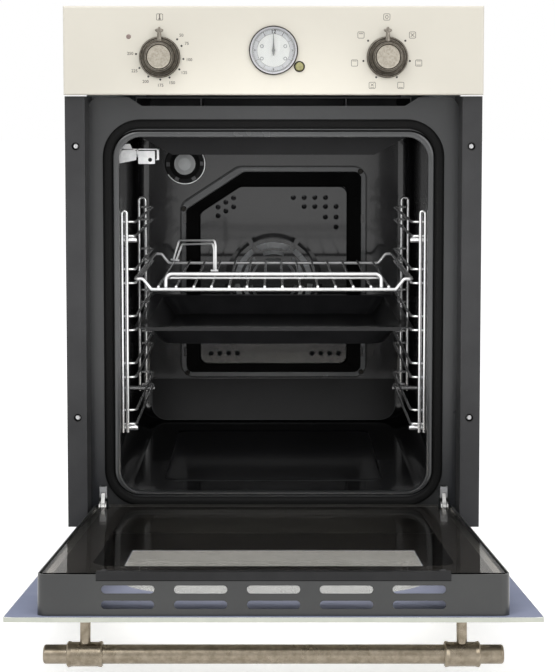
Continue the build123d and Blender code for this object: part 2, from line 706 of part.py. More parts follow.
def muffle_rear():
    """Pressed rear wall with rounded corners and the fan chamber behind its opening."""
    near = CAVITY_REAR - REAR_PAN_DEPTH
    pan = front_view(cavity_section(CAVITY_WALL), near, CAVITY_REAR + CAVITY_WALL)
    pan = fillet(pan.faces().sort_by(Axis.Y)[-1].edges(), CAVITY_REAR_RADIUS + CAVITY_WALL)
    room = front_view(cavity_section(0), near - 1, CAVITY_REAR)
    room = fillet(room.faces().sort_by(Axis.Y)[-1].edges(), CAVITY_REAR_RADIUS)
    rear = CAVITY_REAR + CHAMBER_DEPTH
    chamber = front_view(chamber_outline(CAVITY_WALL), CAVITY_REAR, rear + CAVITY_WALL)
    hollow = front_view(chamber_outline(0), CAVITY_REAR - 1, rear)
    shaft_hole = disc(0, GRILLE_HEIGHT, FAN_SHAFT, rear - 1, rear + CAVITY_WALL + 1)
    lamp_hole = disc(LAMP_X, LAMP_HEIGHT, LAMP_TUBE_RADIUS, CAVITY_REAR - 1, CAVITY_REAR + CAVITY_WALL + 1)
    return pan - room + chamber - hollow - shaft_hole - lamp_hole


def cover_plate_outline():
    """Outline of the raised plate of the fan cover."""
    half = CHAMBER_WIDTH / 2 - COVER_GAP
    low = CHAMBER_BOTTOM + COVER_GAP_FOOT
    high = CHAMBER_TOP - COVER_GAP
    return outline((-half, low), (half, low), (half, high), (-half + 0.7 * CHAMFER_RUN, high),
                   (-half, high - 0.7 * CHAMFER_RISE), radius=COVER_CORNER)


def grille_slots():
    """Arc slots in rows round the grille centre, one sector at a time."""
    slots = []
    for sector in range(GRILLE_SECTORS):
        middle = 90 + sector * 360 / GRILLE_SECTORS
        for inner, outer, half_angle in GRILLE_ROWS:
            arc = arc_slot(inner, outer, middle, half_angle)
            slots.append(arc)
    return slots


def arc_slot(inner, outer, middle, half_angle):
    """One slot between two radii, centred on the angle middle, in a plane about its origin."""
    ends = (middle - half_angle, middle + half_angle)
    near = [point_at(inner, angle) for angle in (ends[0], middle, ends[1])]
    far = [point_at(outer, angle) for angle in (ends[1], middle, ends[0])]
    edges = [ThreePointArc(*near), Line(near[2], far[0]), ThreePointArc(*far), Line(far[2], near[0])]
    return make_face(Curve() + edges)


def point_at(radius, angle):
    """Point at a radius and an angle in degrees."""
    return radius * math.cos(math.radians(angle)), radius * math.sin(math.radians(angle))


def cover_hole_places():
    """Centres of the round holes in the fan cover as (x, z), in clusters."""
    top = CHAMBER_TOP - COVER_GAP - UPPER_HOLES_DROP
    pairs = ((-75, (0, -11.7)), (-64.5, (6.6, -5.4)), (-54, (12.4, 0.4)))
    upper_left = [(x, rise) for x, rises in pairs for rise in rises]
    rows = ((13, (26.8, 41.4, 55.8, 70.2)), (0.8, (41.4, 55.8, 70.2, 84.6)), (-13.5, (70.2, 84.6)),
            (-27, (84.6,)))
    upper_right = [(x, rise) for rise, columns in rows for x in columns]
    foot = CHAMBER_BOTTOM + COVER_GAP_FOOT + LOWER_HOLES_RISE
    lower = [(side + 12 * i, foot) for side in (-85, 52.5) for i in range(4)]
    return [(x, top + rise) for x, rise in upper_left + upper_right] + lower


def fan_cover():
    """Fan cover: flat rim on the rear wall, and a raised folded plate on four tabs."""
    rim_near = CAVITY_REAR - COVER_RIM_SHEET
    rim = front_view(chamber_outline(COVER_RIM) - chamber_outline(0), rim_near, CAVITY_REAR)
    raised = cover_plate_outline()
    plate_rear = COVER_FACE + COVER_FOLD
    plate = front_view(raised, COVER_FACE, plate_rear)
    inside = front_view(offset(raised, -COVER_SHEET), COVER_FACE + COVER_SHEET, plate_rear + 1)
    shell = fillet(plate.faces().sort_by(Axis.Y)[0].edges(), 1.0) - inside
    near = COVER_FACE - 1
    cuts = [front_view(Pos(0, GRILLE_HEIGHT) * slot, near, plate_rear) for slot in grille_slots()]
    cuts += [disc(x, z, COVER_HOLE / 2, near, plate_rear) for x, z in cover_hole_places()]
    tab_heights = (CHAMBER_BOTTOM + LOW_TAB_RISE, CHAMBER_TOP - HIGH_TAB_DROP)
    tabs = [side_tab(sign, z) for sign in (-1, 1) for z in tab_heights]
    return shell - cuts + rim + tabs


def side_tab(sign, z):
    """Tab from the folded edge of the raised plate to the rim, at height z."""
    inner = CHAMBER_WIDTH / 2 - COVER_GAP - COVER_SHEET
    outer = CHAMBER_WIDTH / 2 + COVER_RIM / 2
    rear = COVER_FACE + COVER_FOLD
    profile = outline((inner, rear - COVER_SHEET), (outer, rear - COVER_SHEET), (outer, CAVITY_REAR),
                      (outer - COVER_SHEET, CAVITY_REAR), (outer - COVER_SHEET, rear), (inner, rear))
    tab = plan_view(profile, z, z + COVER_TAB)
    return tab if sign > 0 else mirrored(tab)


# Hot-air fan, heaters, lamp, sensor


def convection_fan():
    """Fan wheel with radial blades on its shaft."""
    rear = CAVITY_REAR + CHAMBER_DEPTH - 6
    near = rear - FAN_WHEEL_DEPTH
    back = disc(0, 0, FAN_WHEEL_RADIUS, rear - 1, rear)
    hub = disc(0, 0, 9, near, rear - 1)
    blade = front_view(rectangle(FAN_WHEEL_RADIUS - 22, FAN_WHEEL_RADIUS - 1, -0.5, 0.5), near, rear - 1)
    blades = [Rot(0, i * 360 / FAN_BLADES, 0) * blade for i in range(FAN_BLADES)]
    shaft = disc(0, 0, FAN_SHAFT / 2, near - 3, rear + 6 + MOTOR_LENGTH * 0.8)
    return Pos(0, 0, GRILLE_HEIGHT) * (back + hub + blades + shaft)


def fan_motor():
    """Motor on the rear of the fan chamber: mounting plate, laminated body, rear bell."""
    near = CAVITY_REAR + CHAMBER_DEPTH + CAVITY_WALL
    plate = front_view(Pos(0, GRILLE_HEIGHT) * RectangleRounded(90, 60, 8), near, near + 1.5)
    body = disc(0, GRILLE_HEIGHT, MOTOR_RADIUS, near + 1.5, near + MOTOR_LENGTH)
    bell = disc(0, GRILLE_HEIGHT, MOTOR_RADIUS * 0.6, near + MOTOR_LENGTH, near + MOTOR_LENGTH + 8)
    bell = fillet(bell.faces().sort_by(Axis.Y)[-1].edges(), 4)
    bore = disc(0, GRILLE_HEIGHT, FAN_SHAFT / 2 + RUNNING_GAP, near - 1, near + MOTOR_LENGTH + 2)
    return plate + body + bell - bore


def ring_heater():
    """Heating ring round the fan wheel, on two tails through the chamber's rear wall."""
    depth = CAVITY_REAR + CHAMBER_DEPTH / 2 - 3
    ring = Pos(0, depth, GRILLE_HEIGHT) * Rot(90, 0, 0) * Torus(RING_HEATER_RADIUS, HEATER_TUBE / 2)
    tail = disc(0, GRILLE_HEIGHT + RING_HEATER_RADIUS, HEATER_TUBE / 2 - 0.4, depth,
                CAVITY_REAR + CHAMBER_DEPTH)
    return ring + tail


def grill_hood():
    """Folded hood under the roof that shields the grill element, open downwards at the rear."""
    points = [(-HOOD_HALF_TOP, CAVITY_ROOF), (-HOOD_HALF_MIDDLE, HOOD_MIDDLE),
              (-HOOD_HALF_BOTTOM, HOOD_BOTTOM), (HOOD_HALF_BOTTOM, HOOD_BOTTOM),
              (HOOD_HALF_MIDDLE, HOOD_MIDDLE), (HOOD_HALF_TOP, CAVITY_ROOF)]
    skin = outline(*points)
    front = front_view(skin, HOOD_FRONT, HOOD_FRONT + HOOD_SHEET)
    flange = HOOD_HALF_BOTTOM - HOOD_FLANGE
    middle = rectangle(-flange, flange, HOOD_BOTTOM - HOOD_SHEET, CAVITY_ROOF + HOOD_SHEET)
    walls = skin - offset(skin, -HOOD_SHEET) - middle
    return front + front_view(walls, HOOD_FRONT, HOOD_REAR)


def grill_element():
    """Two U loops of heating tube inside the hood, fixed at the rear."""
    z = HOOD_BOTTOM + HOOD_SHEET + HEATER_TUBE / 2 + 1.5
    half = GRILL_HEATER_HALF
    near = HOOD_FRONT + 25
    far = CAVITY_REAR
    inner = half * 0.45
    loop = [(-half, far, z), (-half, near, z), (-inner, near, z), (-inner, HOOD_REAR - 30, z),
            (inner, HOOD_REAR - 30, z), (inner, near, z), (half, near, z), (half, far, z)]
    return wire(loop, HEATER_TUBE, 14)


def bottom_heater():
    """Heating tube under the floor of the cavity."""
    z = MOUTH_BOTTOM - CAVITY_WALL - HEATER_TUBE / 2 - SEAT_GAP
    half = LOWER_HEATER_HALF
    near = LOWER_HEATER_FRONT
    far = LOWER_HEATER_REAR
    loop = [(-half, far, z), (-half, near, z), (half, near, z), (half, far, z)]
    return wire(loop, HEATER_TUBE, 40)


def lamp_housing():
    """Lamp ring on the rear wall, socket tube through it, and the bulb."""
    ring_near = CAVITY_REAR - 4
    rear = CAVITY_REAR + LAMP_DEPTH
    seat = LAMP_TUBE_RADIUS - 2
    ring = [(seat, ring_near), (LAMP_RING_RADIUS - 1.5, ring_near), (LAMP_RING_RADIUS, ring_near + 1.5),
            (LAMP_RING_RADIUS, CAVITY_REAR), (LAMP_TUBE_RADIUS, CAVITY_REAR), (LAMP_TUBE_RADIUS, rear),
            (0, rear), (0, rear - 2), (seat, rear - 2)]
    bulb_neck = rear - 2
    bulb = [(0, bulb_neck), (7, bulb_neck), (7, bulb_neck - 10), (9.5, bulb_neck - 18),
            (7, bulb_neck - 26), (0, bulb_neck - 29)]
    return turned(ring, LAMP_X, LAMP_HEIGHT) + turned(bulb, LAMP_X, LAMP_HEIGHT)


def lamp_glass():
    """Glass cover screwed into the lamp ring, with a domed middle."""
    rim = LAMP_TUBE_RADIUS - 2
    near = CAVITY_REAR - 6
    wall = 2.0
    profile = [(0, near - 8), (LAMP_DOME_RADIUS * 0.6, near - 6.5), (LAMP_DOME_RADIUS, near - 1),
               (rim, near), (rim, CAVITY_REAR + 4), (rim - wall, CAVITY_REAR + 4), (rim - wall, near + wall),
               (LAMP_DOME_RADIUS - wall, near + wall), (LAMP_DOME_RADIUS * 0.5, near - 4.5),
               (0, near - 8 + wall)]
    return turned(profile, LAMP_X, LAMP_HEIGHT)


def sensor_bracket():
    """Bright bracket in the upper left corner: a plate with a hole and a quarter disc, and the probe."""
    depth = HOOD_FRONT - SENSOR_BEHIND_HOOD_EDGE
    back = depth + SENSOR_PLATE
    left = -CAVITY_HALF
    top = CAVITY_ROOF - SENSOR_BELOW_ROOF
    low = top - SENSOR_HEIGHT
    tab = rectangle(left + 30, left + 52, low, low + 20, 2) - Pos(left + 46, low + 10) * Circle(2.5)
    quarter = outline((left, low), (left + 22, low), (left + 20.5, low + 12), (left + 14, low + 20),
                      (left, top))
    bridge = rectangle(left + 15, left + 34, low + 6, low + 12)
    plates = front_view(tab, depth, back) + front_view(quarter, depth, back) + front_view(bridge, depth, back)
    foot = block(left, left + SENSOR_PLATE, depth, depth + 14, low, top)
    centre = Pos(depth + 8, top - 8)
    probe = side_view(centre * Circle(PROBE_RADIUS), left, left + PROBE_LENGTH)
    collar = side_view(centre * Circle(PROBE_RADIUS + 2), left, left + 6)
    return [plates + foot - probe - collar, probe + collar]


# Side ladders, rack, tray and lifting handle


def ladder():
    """Left ladder: ten runner wires welded to a front and a rear post."""
    runners = []
    for low in LADDER_HEIGHTS:
        for z in (low, low + LADDER_PAIR):
            line = [(-LADDER_ROOT_X, LADDER_FRONT, z), (-LADDER_RUNNER_X, LADDER_FRONT, z),
                    (-LADDER_RUNNER_X, LADDER_REAR, z), (-LADDER_ROOT_X, LADDER_REAR, z)]
            runners.append(wire(line, LADDER_WIRE, LADDER_BEND))
    front = post(LADDER_FRONT - post_weld(), FRONT_POST_SPACING)
    rear = post(LADDER_REAR + post_weld(), REAR_POST_SPACING)
    return front + runners + rear


def post_weld():
    """Distance from the ends of the runner wires to a post welded on them."""
    return (LADDER_WIRE + LADDER_POST_WIRE) / 2 - WELD_SINK


def post(depth, spacing):
    """Upright hairpin of wire, closed at its top, between the wall and the runner wires."""
    right = -LADDER_RUNNER_X - POST_SETBACK
    left = right - spacing
    low = LADDER_HEIGHTS[0] - POST_BELOW_RUNNERS
    high = LADDER_HEIGHTS[-1] + LADDER_PAIR + POST_ABOVE_RUNNERS
    line = [(left, depth, low), (left, depth, high), (right, depth, high), (right, depth, low)]
    return wire(line, LADDER_POST_WIRE, spacing / 2 - 0.2)


def ladder_studs():
    """Ball-headed studs in the side walls, under the lowest and the top runner wires."""
    drop = LADDER_WIRE / 2 + SEAT_GAP + STUD_RADIUS
    low = LADDER_HEIGHTS[0] - drop
    high = LADDER_HEIGHTS[-1] - drop
    beside_post = LADDER_POST_WIRE / 2 + STUD_RADIUS + SEAT_GAP - post_weld()
    front = LADDER_FRONT + beside_post
    rear = LADDER_REAR - beside_post
    studs = []
    for depth, z in ((front, low), (rear, low), (front, high)):
        pin = side_view(Pos(depth, z) * Circle(STUD_RADIUS), -CAVITY_HALF, -LADDER_RUNNER_X + STUD_REACH)
        tip = pin.faces().sort_by(Axis.X)[-1]
        studs += both_sides(fillet(tip.edges(), STUD_RADIUS / 2))
    return studs


def rack_wire_height():
    """Height of the rack's side rails, resting on the lower wires of their level."""
    return LADDER_HEIGHTS[RACK_LEVEL - 1] + (LADDER_WIRE + RACK_FRAME_WIRE) / 2 + SEAT_GAP


def rack_cross_height():
    """Height of the rack's front and rear cross wires, below the side rails."""
    return rack_wire_height() - RACK_DROP


def rack_run_height():
    """Height of the wires that run from front to rear, welded on the cross wires."""
    return rack_cross_height() + (RACK_FRAME_WIRE + RACK_RUN_WIRE) / 2 - RACK_WELD


def rack_run_x(index):
    """Place of one of the wires that run from front to rear, counted from the left."""
    return (index - (RACK_RUNS - 1) / 2) * RACK_PITCH


def half_frame(depth, middle):
    """Half of the rack's outer frame: from one side rail over the dropped cross wire to the other."""
    high = rack_wire_height()
    low = rack_cross_height()
    shoulder = RACK_STRAIGHT_HALF + 0.8 * RACK_DROP
    left = [(-RACK_HALF, middle, high), (-RACK_HALF, depth, high), (-shoulder, depth, high),
            (-RACK_STRAIGHT_HALF, depth, low)]
    right = [(-x, y, z) for x, y, z in reversed(left)]
    return wire(left + right, RACK_FRAME_WIRE, RACK_BEND * 0.75)


def rack():
    """Wire rack with dropped ends, runs from front to rear, and a raised stop bar at the front."""
    rear_depth = RACK_FRONT + RACK_DEPTH
    middle = RACK_FRONT + RACK_DEPTH / 2
    run_z = rack_run_height()
    runs = [wire([(rack_run_x(i), RACK_FRONT, run_z), (rack_run_x(i), rear_depth, run_z)], RACK_RUN_WIRE)
            for i in range(RACK_RUNS)]
    foot = rack_cross_height()
    stop = RACK_FRONT + STOP_BAR_SETBACK
    top = foot + STOP_BAR_RISE
    bar = wire([(-STOP_BAR_HALF, stop, foot), (-STOP_BAR_HALF, stop, top), (STOP_BAR_HALF, stop, top),
                (STOP_BAR_HALF, stop, foot)], STOP_BAR_WIRE, STOP_BAR_BEND)
    thin_z = foot + THIN_BAR_RISE
    thin = wire([(-STOP_BAR_HALF, stop + STOP_BAR_WIRE / 2, thin_z),
                 (-STOP_BAR_HALF + THIN_BAR_BEND, RACK_FRONT + THIN_BAR_SETBACK, thin_z),
                 (STOP_BAR_HALF - THIN_BAR_BEND, RACK_FRONT + THIN_BAR_SETBACK, thin_z),
                 (STOP_BAR_HALF, stop + STOP_BAR_WIRE / 2, thin_z)], RACK_RUN_WIRE, THIN_BAR_BEND)
    return half_frame(RACK_FRONT, middle) + half_frame(rear_depth, middle) + runs + bar + thin


def tray_handle():
    """Lifting handle: two bent wires side by side, its feet on two of the rack's runs."""
    foot = rack_run_height() + (RACK_RUN_WIRE + GRIP_WIRE) / 2 + SEAT_GAP
    rear_x = rack_run_x(GRIP_REAR_RUN)
    front_x = rack_run_x(GRIP_FRONT_RUN)
    lean = GRIP_LEAN
    wires = []
    for inset in (0, GRIP_PAIR):
        line = [(rear_x + inset, GRIP_REAR_DEPTH + lean - inset * 2, foot),
                (rear_x + lean + inset, GRIP_REAR_DEPTH - inset * 2, foot + GRIP_REAR_RISE - inset),
                (front_x - inset / 2, GRIP_FRONT_DEPTH + inset, foot + GRIP_FRONT_RISE - inset),
                (front_x - inset / 2, GRIP_FRONT_DEPTH + inset, foot)]
        wires.append(wire(line, GRIP_WIRE, GRIP_BEND))
    rear = GRIP_REAR_DEPTH + lean
    front = GRIP_FRONT_DEPTH
    rear_tie = [(rear_x - 3, rear + 1.5, foot), (rear_x + GRIP_PAIR + 3, rear - 2 * GRIP_PAIR - 1.5, foot)]
    front_tie = [(front_x + 3, front, foot), (front_x - 6, front, foot)]
    side_tie = [(front_x, front - 1, foot), (front_x - 3, front + 8, foot)]
    ties = [wire(line, GRIP_WIRE) for line in (rear_tie, front_tie, side_tie)]
    return wires[0] + wires[1] + ties


def baking_tray():
    """Enamelled tray with sloping walls, hung by its flat rim on the ladder wires."""
    rim_z = LADDER_HEIGHTS[TRAY_LEVEL - 1] + LADDER_WIRE / 2 + SEAT_GAP
    rear = TRAY_FRONT + TRAY_DEPTH
    wall_x = TRAY_HALF - TRAY_RIM
    near = TRAY_FRONT + TRAY_RIM
    far = rear - TRAY_RIM
    slope = TRAY_WALL_SLOPE
    floor_z = rim_z - TRAY_HEIGHT

    def level(z, shrink):
        shape = rectangle(-wall_x + shrink, wall_x - shrink, near + shrink, far - shrink, TRAY_CORNER)
        return Plane.XY.offset(z) * shape

    sheet = TRAY_SHEET
    outer = loft([level(floor_z, slope), level(rim_z + sheet, 0)])
    inner = loft([level(floor_z + sheet, slope + sheet), level(rim_z + 2 * sheet, sheet - 0.8)])
    rim = rectangle(-TRAY_HALF, TRAY_HALF, TRAY_FRONT, rear, TRAY_LIP * 2)
    flange = plan_view(rim, rim_z, rim_z + sheet)
    lip_half = TRAY_HALF - TRAY_RIM - 2
    lip = plan_view(rectangle(-lip_half, lip_half, TRAY_FRONT, TRAY_FRONT + sheet), rim_z - TRAY_LIP, rim_z)
    rear_lip = Pos(0, TRAY_DEPTH - 1, 0) * lip
    return flange + outer + lip + rear_lip - inner


# Cooling fan and insulation


def cooling_fan_housing():
    """Shelf across the casing, flat air duct with ribs, and the scroll round the rotor."""
    low = SHELF_HEIGHT
    floor = low + DUCT_SHEET
    wide_from = FRAME_FACE + TRIM_REACH + 2
    scroll = ROTOR_RADIUS + SCROLL_GAP
    rear = ROTOR_DEPTH + scroll + 20
    shelf = block(-DUCT_HALF, DUCT_HALF, DUCT_FRONT, wide_from, low, floor)
    shelf += block(-CASING_INSIDE, CASING_INSIDE, wide_from, rear, low, floor)
    edge = block(-CASING_INSIDE, -CASING_INSIDE + DUCT_SHEET, wide_from, rear, floor, floor + 12)

    # The air passage from the front outlet to the scroll, seen from the side
    ramp_start = ROTOR_DEPTH - scroll - 30
    duct = outline((DUCT_FRONT - 5, floor), (ROTOR_DEPTH - 20, floor),
                   (ROTOR_DEPTH, ROTOR_HEIGHT - scroll), (ROTOR_DEPTH, ROTOR_HEIGHT),
                   (ROTOR_DEPTH - scroll, ROTOR_HEIGHT), (ramp_start, DUCT_ROOF),
                   (DUCT_FRONT - 5, DUCT_ROOF))
    passage = duct + Pos(ROTOR_DEPTH, ROTOR_HEIGHT) * Circle(scroll)
    outer = offset(passage, DUCT_SHEET)
    outlet = rectangle(DUCT_FRONT - 10, DUCT_FRONT, low - 5, DUCT_ROOF + 5)
    intake = rectangle(ROTOR_DEPTH - scroll - 5, ROTOR_DEPTH + scroll + 5,
                       ROTOR_HEIGHT + scroll / 2, ROTOR_HEIGHT + scroll + 5)
    walls = side_view(outer - passage - outlet - intake, -DUCT_HALF, DUCT_HALF)
    cheek = side_view(outer - outlet - intake, -DUCT_HALF - DUCT_SHEET, -DUCT_HALF)
    bore = SHAFT_RADIUS + RUNNING_GAP
    bearing = Pos(0, ROTOR_DEPTH, ROTOR_HEIGHT) * Rot(0, 90, 0) * Cylinder(bore, 4 * DUCT_HALF)
    rib = block(-0.5, 0.5, DUCT_FRONT, DUCT_FRONT + 60, floor, DUCT_ROOF)
    ribs = along_x(rib, (-DUCT_RIB_X, DUCT_RIB_X))
    body = shelf + edge + mirrored(edge) + walls + cheek + mirrored(cheek) + ribs
    return body - bearing


def cooling_fan_rotor():
    """Long drum of slanted blades between two end discs, on a shaft through the end walls."""
    disc_sheet = 1.5
    ends = [Pos(x, 0, 0) * Rot(0, 90, 0) * Cylinder(ROTOR_RADIUS, disc_sheet)
            for x in (-ROTOR_HALF, ROTOR_HALF)]
    blade = Pos(ROTOR_RADIUS - 4.5, 0) * Rot(0, 0, 25) * Rectangle(6.5, 0.8)
    blades = [side_view(Rot(0, 0, i * 360 / ROTOR_BLADES) * blade, -ROTOR_HALF, ROTOR_HALF)
              for i in range(ROTOR_BLADES)]
    reach = DUCT_HALF + DUCT_SHEET + COOLING_MOTOR_LENGTH * 0.6
    left = -DUCT_HALF - DUCT_SHEET
    shaft = Pos(left, 0, 0) * Rot(0, 90, 0) * Cylinder(
        SHAFT_RADIUS, reach - left, align=(Align.CENTER, Align.CENTER, Align.MIN))
    return Pos(0, ROTOR_DEPTH, ROTOR_HEIGHT) * (ends[0] + ends[1] + blades + shaft)


def cooling_fan_motor():
    """Motor on the right end wall of the cooling fan."""
    start = DUCT_HALF + DUCT_SHEET
    base = side_view(Pos(ROTOR_DEPTH, ROTOR_HEIGHT) * RectangleRounded(38, 38, 5), start, start + 2)
    body = side_view(Pos(ROTOR_DEPTH, ROTOR_HEIGHT) * Circle(COOLING_MOTOR_RADIUS), start + 2,
                     start + COOLING_MOTOR_LENGTH)
    body = fillet(body.faces().sort_by(Axis.X)[-1].edges(), 3)
    bore = side_view(Pos(ROTOR_DEPTH, ROTOR_HEIGHT) * Circle(SHAFT_RADIUS + RUNNING_GAP), start - 1,
                     start + COOLING_MOTOR_LENGTH * 0.6 + 1)
    return base + body - bore


def insulation():
    """Mineral wool wrapped round the cavity, open at the front and the rear."""
    half = CASING_INSIDE - WOOL_SIDE_GAP
    outer = rectangle(-half, half, WOOL_BOTTOM, WOOL_TOP, 10)
    room = cavity_section(CAVITY_WALL + WOOL_INNER_GAP)
    under = rectangle(-LOWER_HEATER_HALF - 20, LOWER_HEATER_HALF + 20,
                      MOUTH_BOTTOM - CAVITY_WALL - WOOL_FOOT_GAP, MOUTH_BOTTOM, 3)
    return front_view(outer - room - under, WOOL_FRONT, WOOL_REAR)


# Control panel with switches, knobs and clock


def panel_holes(near, far):
    """Holes for the two switch bushings, the clock, its knob and the indicator."""
    holes = [disc(x, KNOB_HEIGHT, BUSHING_RADIUS, near, far) for x in (-KNOB_X, KNOB_X)]
    holes.append(disc(0, CLOCK_HEIGHT, CLOCK_BARREL_RADIUS, near, far))
    holes.append(disc(CLOCK_KNOB_X, CLOCK_KNOB_HEIGHT, CLOCK_COLLAR_RADIUS - 0.6, near, far))
    holes.append(disc(INDICATOR_X, INDICATOR_HEIGHT, INDICATOR_RADIUS, near, far))
    return holes


def control_panel():
    """Pressed front of the controls: a shell open at the rear with rounded front edges."""
    body = front_view(rectangle(-HALF_FACE, HALF_FACE, PANEL_BOTTOM, OVERALL_HEIGHT), 0, PANEL_DEPTH)
    body = fillet(body.faces().sort_by(Axis.Y)[0].edges(), PANEL_EDGE_RADIUS)
    wall = PANEL_WALL
    room = front_view(rectangle(-HALF_FACE + wall, HALF_FACE - wall, PANEL_BOTTOM + wall,
                                OVERALL_HEIGHT - wall), wall, PANEL_DEPTH + 1)
    return body - room - panel_holes(-1, wall + 1)


def panel_bracket():
    """Plate behind the control panel that carries the switches, bent back into the casing."""
    near = PANEL_DEPTH
    far = near + BRACKET_SHEET
    half = HALF_FACE - BRACKET_MARGIN
    face = rectangle(-half, half, PANEL_BOTTOM + BRACKET_MARGIN, OVERALL_HEIGHT - BRACKET_MARGIN)
    plate = front_view(face, near, far)
    low = PANEL_BOTTOM + 2
    arm = block(-CASING_INSIDE, -CASING_INSIDE + BRACKET_SHEET, far, far + BRACKET_RETURN, low,
                CASING_HEIGHT - CASING_SHEET)
    return plate + arm + mirrored(arm) - panel_holes(near - 1, far + 1)


def rotary_switches():
    """Thermostat and function switch behind the bracket."""
    return [rotary_switch(-KNOB_X), rotary_switch(KNOB_X)]


def rotary_switch(x):
    """Switch body with the bushing that guides the knob's shaft, and its three terminals."""
    near = PANEL_DEPTH + BRACKET_SHEET
    box = front_view(Pos(x, KNOB_HEIGHT) * RectangleRounded(SWITCH_SIZE, SWITCH_SIZE, 4), near,
                     near + SWITCH_DEPTH)
    bushing = disc(x, KNOB_HEIGHT, BUSHING_RADIUS, PANEL_WALL, near)
    bore = disc(x, KNOB_HEIGHT, SHAFT_RADIUS + RUNNING_GAP, 0, SHAFT_REAR + 1)
    rear = near + SWITCH_DEPTH
    tag = block(x - 3, x + 3, rear, rear + 8, KNOB_HEIGHT + 11, KNOB_HEIGHT + 12)
    tags = [Pos(0, 0, -11.5 * i) * tag for i in range(3)]
    return box + bushing + tags - bore


def knob():
    """Turned knob with stepped rings, a pointer over the skirt, and its shaft."""
    back = -KNOB_STANDOFF
    front = -KNOB_DEPTH
    body = KNOB_BODY_RADIUS
    skirt = KNOB_SKIRT_RADIUS
    seat = KNOB_CAP_RADIUS
    barrel = [(0, front + 2), (seat, front + 2), (seat, front), (seat + 1, front - 0.6),
              (body - 1, front + 0.6), (body, front + 3), (body, -9.4)]
    rings = [(body + 1.8, -8.4), (body + 1.8, -7.2), (skirt - 2.2, -5.6), (skirt - 1.4, -3.8), (skirt, -2.8)]
    hollow = [(skirt, back), (skirt - 2, back), (skirt - 2, -2), (BUSHING_RADIUS + 2, -2),
              (BUSHING_RADIUS + 2, back)]
    shaft = [(SHAFT_RADIUS, back), (SHAFT_RADIUS, SHAFT_REAR), (0, SHAFT_REAR)]
    profile = barrel + rings + hollow + shaft
    tip = POINTER_TIP
    stem = rectangle(-POINTER_STEM / 2, POINTER_STEM / 2, body - 2, tip - 4)
    head = Pos(0, tip - 2.6) * Ellipse(POINTER_FINIAL / 2, 2.0)
    bud = Pos(0, tip - 1.2) * Circle(1.2)
    pointer = front_view(stem + head + bud, -9.0, -5.7)
    return turned(profile, 0, 0) + pointer


def knob_cap():
    """Slightly domed cap in the front of a knob."""
    seat = -KNOB_DEPTH + 2
    front = seat - CAP_DEPTH
    radius = KNOB_CAP_RADIUS
    rim = [(radius, seat), (radius, front + 1), (radius - 1.2, front + 0.3)]
    return turned([(0, seat)] + rim + [(0, front)], 0, 0)


def at_knob(shape, side):
    """Put a knob piece in its place: side is -1 for the thermostat and 1 for the function switch."""
    return Pos(side * KNOB_X, 0, KNOB_HEIGHT) * shape


def clock_case():
    """Clock case with bezel and movement, and the dark collar of the setting knob."""
    inner = BEZEL_RADIUS - BEZEL_WALL
    barrel = CLOCK_BARREL_RADIUS
    dial_seat = barrel - CLOCK_BARREL_WALL
    bore = HOUR_TUBE_RADIUS + RUNNING_GAP
    front = -BEZEL_FRONT
    bezel = [(bore, MOVEMENT_FRONT), (dial_seat, MOVEMENT_FRONT), (dial_seat, 0), (inner, 0), (inner, front),
             (inner + 1.2, front), (BEZEL_RADIUS, front + 1.6), (BEZEL_RADIUS, 0)]
    end = PANEL_DEPTH + 4
    movement = [(barrel, 0), (barrel, 10), (MOVEMENT_RADIUS, 10), (MOVEMENT_RADIUS, end), (0, end), (0, 16),
                (bore, 16)]
    collar = CLOCK_COLLAR_RADIUS
    recess = CLOCK_KNOB_RADIUS + 0.3
    stem = CLOCK_STEM_RADIUS + RUNNING_GAP
    rear = PANEL_DEPTH + BRACKET_SHEET
    sleeve = [(stem, 2), (recess, 2), (recess, -1.2), (collar, -1.2), (collar, 0), (collar - 0.6, 0),
              (collar - 0.6, rear), (0, rear), (0, rear - 2), (stem, rear - 2)]
    return [turned(bezel + movement, 0, CLOCK_HEIGHT), turned(sleeve, CLOCK_KNOB_X, CLOCK_KNOB_HEIGHT)]


def clock_dial():
    """Flat dial lying on the movement."""
    dial = Circle(CLOCK_BARREL_RADIUS - CLOCK_BARREL_WALL) - Circle(HOUR_TUBE_RADIUS + 0.3)
    return front_view(Pos(0, CLOCK_HEIGHT) * dial, MOVEMENT_FRONT - DIAL_SHEET, MOVEMENT_FRONT)


def clock_glass():
    """Flat glass held in the bezel."""
    return disc(0, CLOCK_HEIGHT, BEZEL_RADIUS - BEZEL_WALL, -BEZEL_FRONT + 0.8, -BEZEL_FRONT + 1.8)


def hand_blade(length, width, near):
    """Tapered hand pointing up, with a short tail, from the clock centre."""
    blade = outline((-width * 0.4, -length * 0.3), (width * 0.4, -length * 0.3), (width / 2, 0),
                    (0.25, length), (-0.25, length), (-width / 2, 0))
    return front_view(blade + Circle(1.8), near, near + HAND_SHEET)


def hour_hand():
    """Hour hand on its tube."""
    near = MOVEMENT_FRONT - DIAL_SHEET - 1.0
    tube = front_view(Circle(HOUR_TUBE_RADIUS), near, 12)
    bore = front_view(Circle(MINUTE_ARBOR_RADIUS + RUNNING_GAP), near - 1, 13)
    return Pos(0, 0, CLOCK_HEIGHT) * (hand_blade(HOUR_HAND_LENGTH, 2.6, near) + tube - bore)


def minute_hand():
    """Minute hand on the arbor that turns inside the hour hand's tube."""
    near = MOVEMENT_FRONT - DIAL_SHEET - 2.0
    arbor = front_view(Circle(MINUTE_ARBOR_RADIUS), near, 14)
    return Pos(0, 0, CLOCK_HEIGHT) * (hand_blade(MINUTE_HAND_LENGTH, 1.9, near) + arbor)


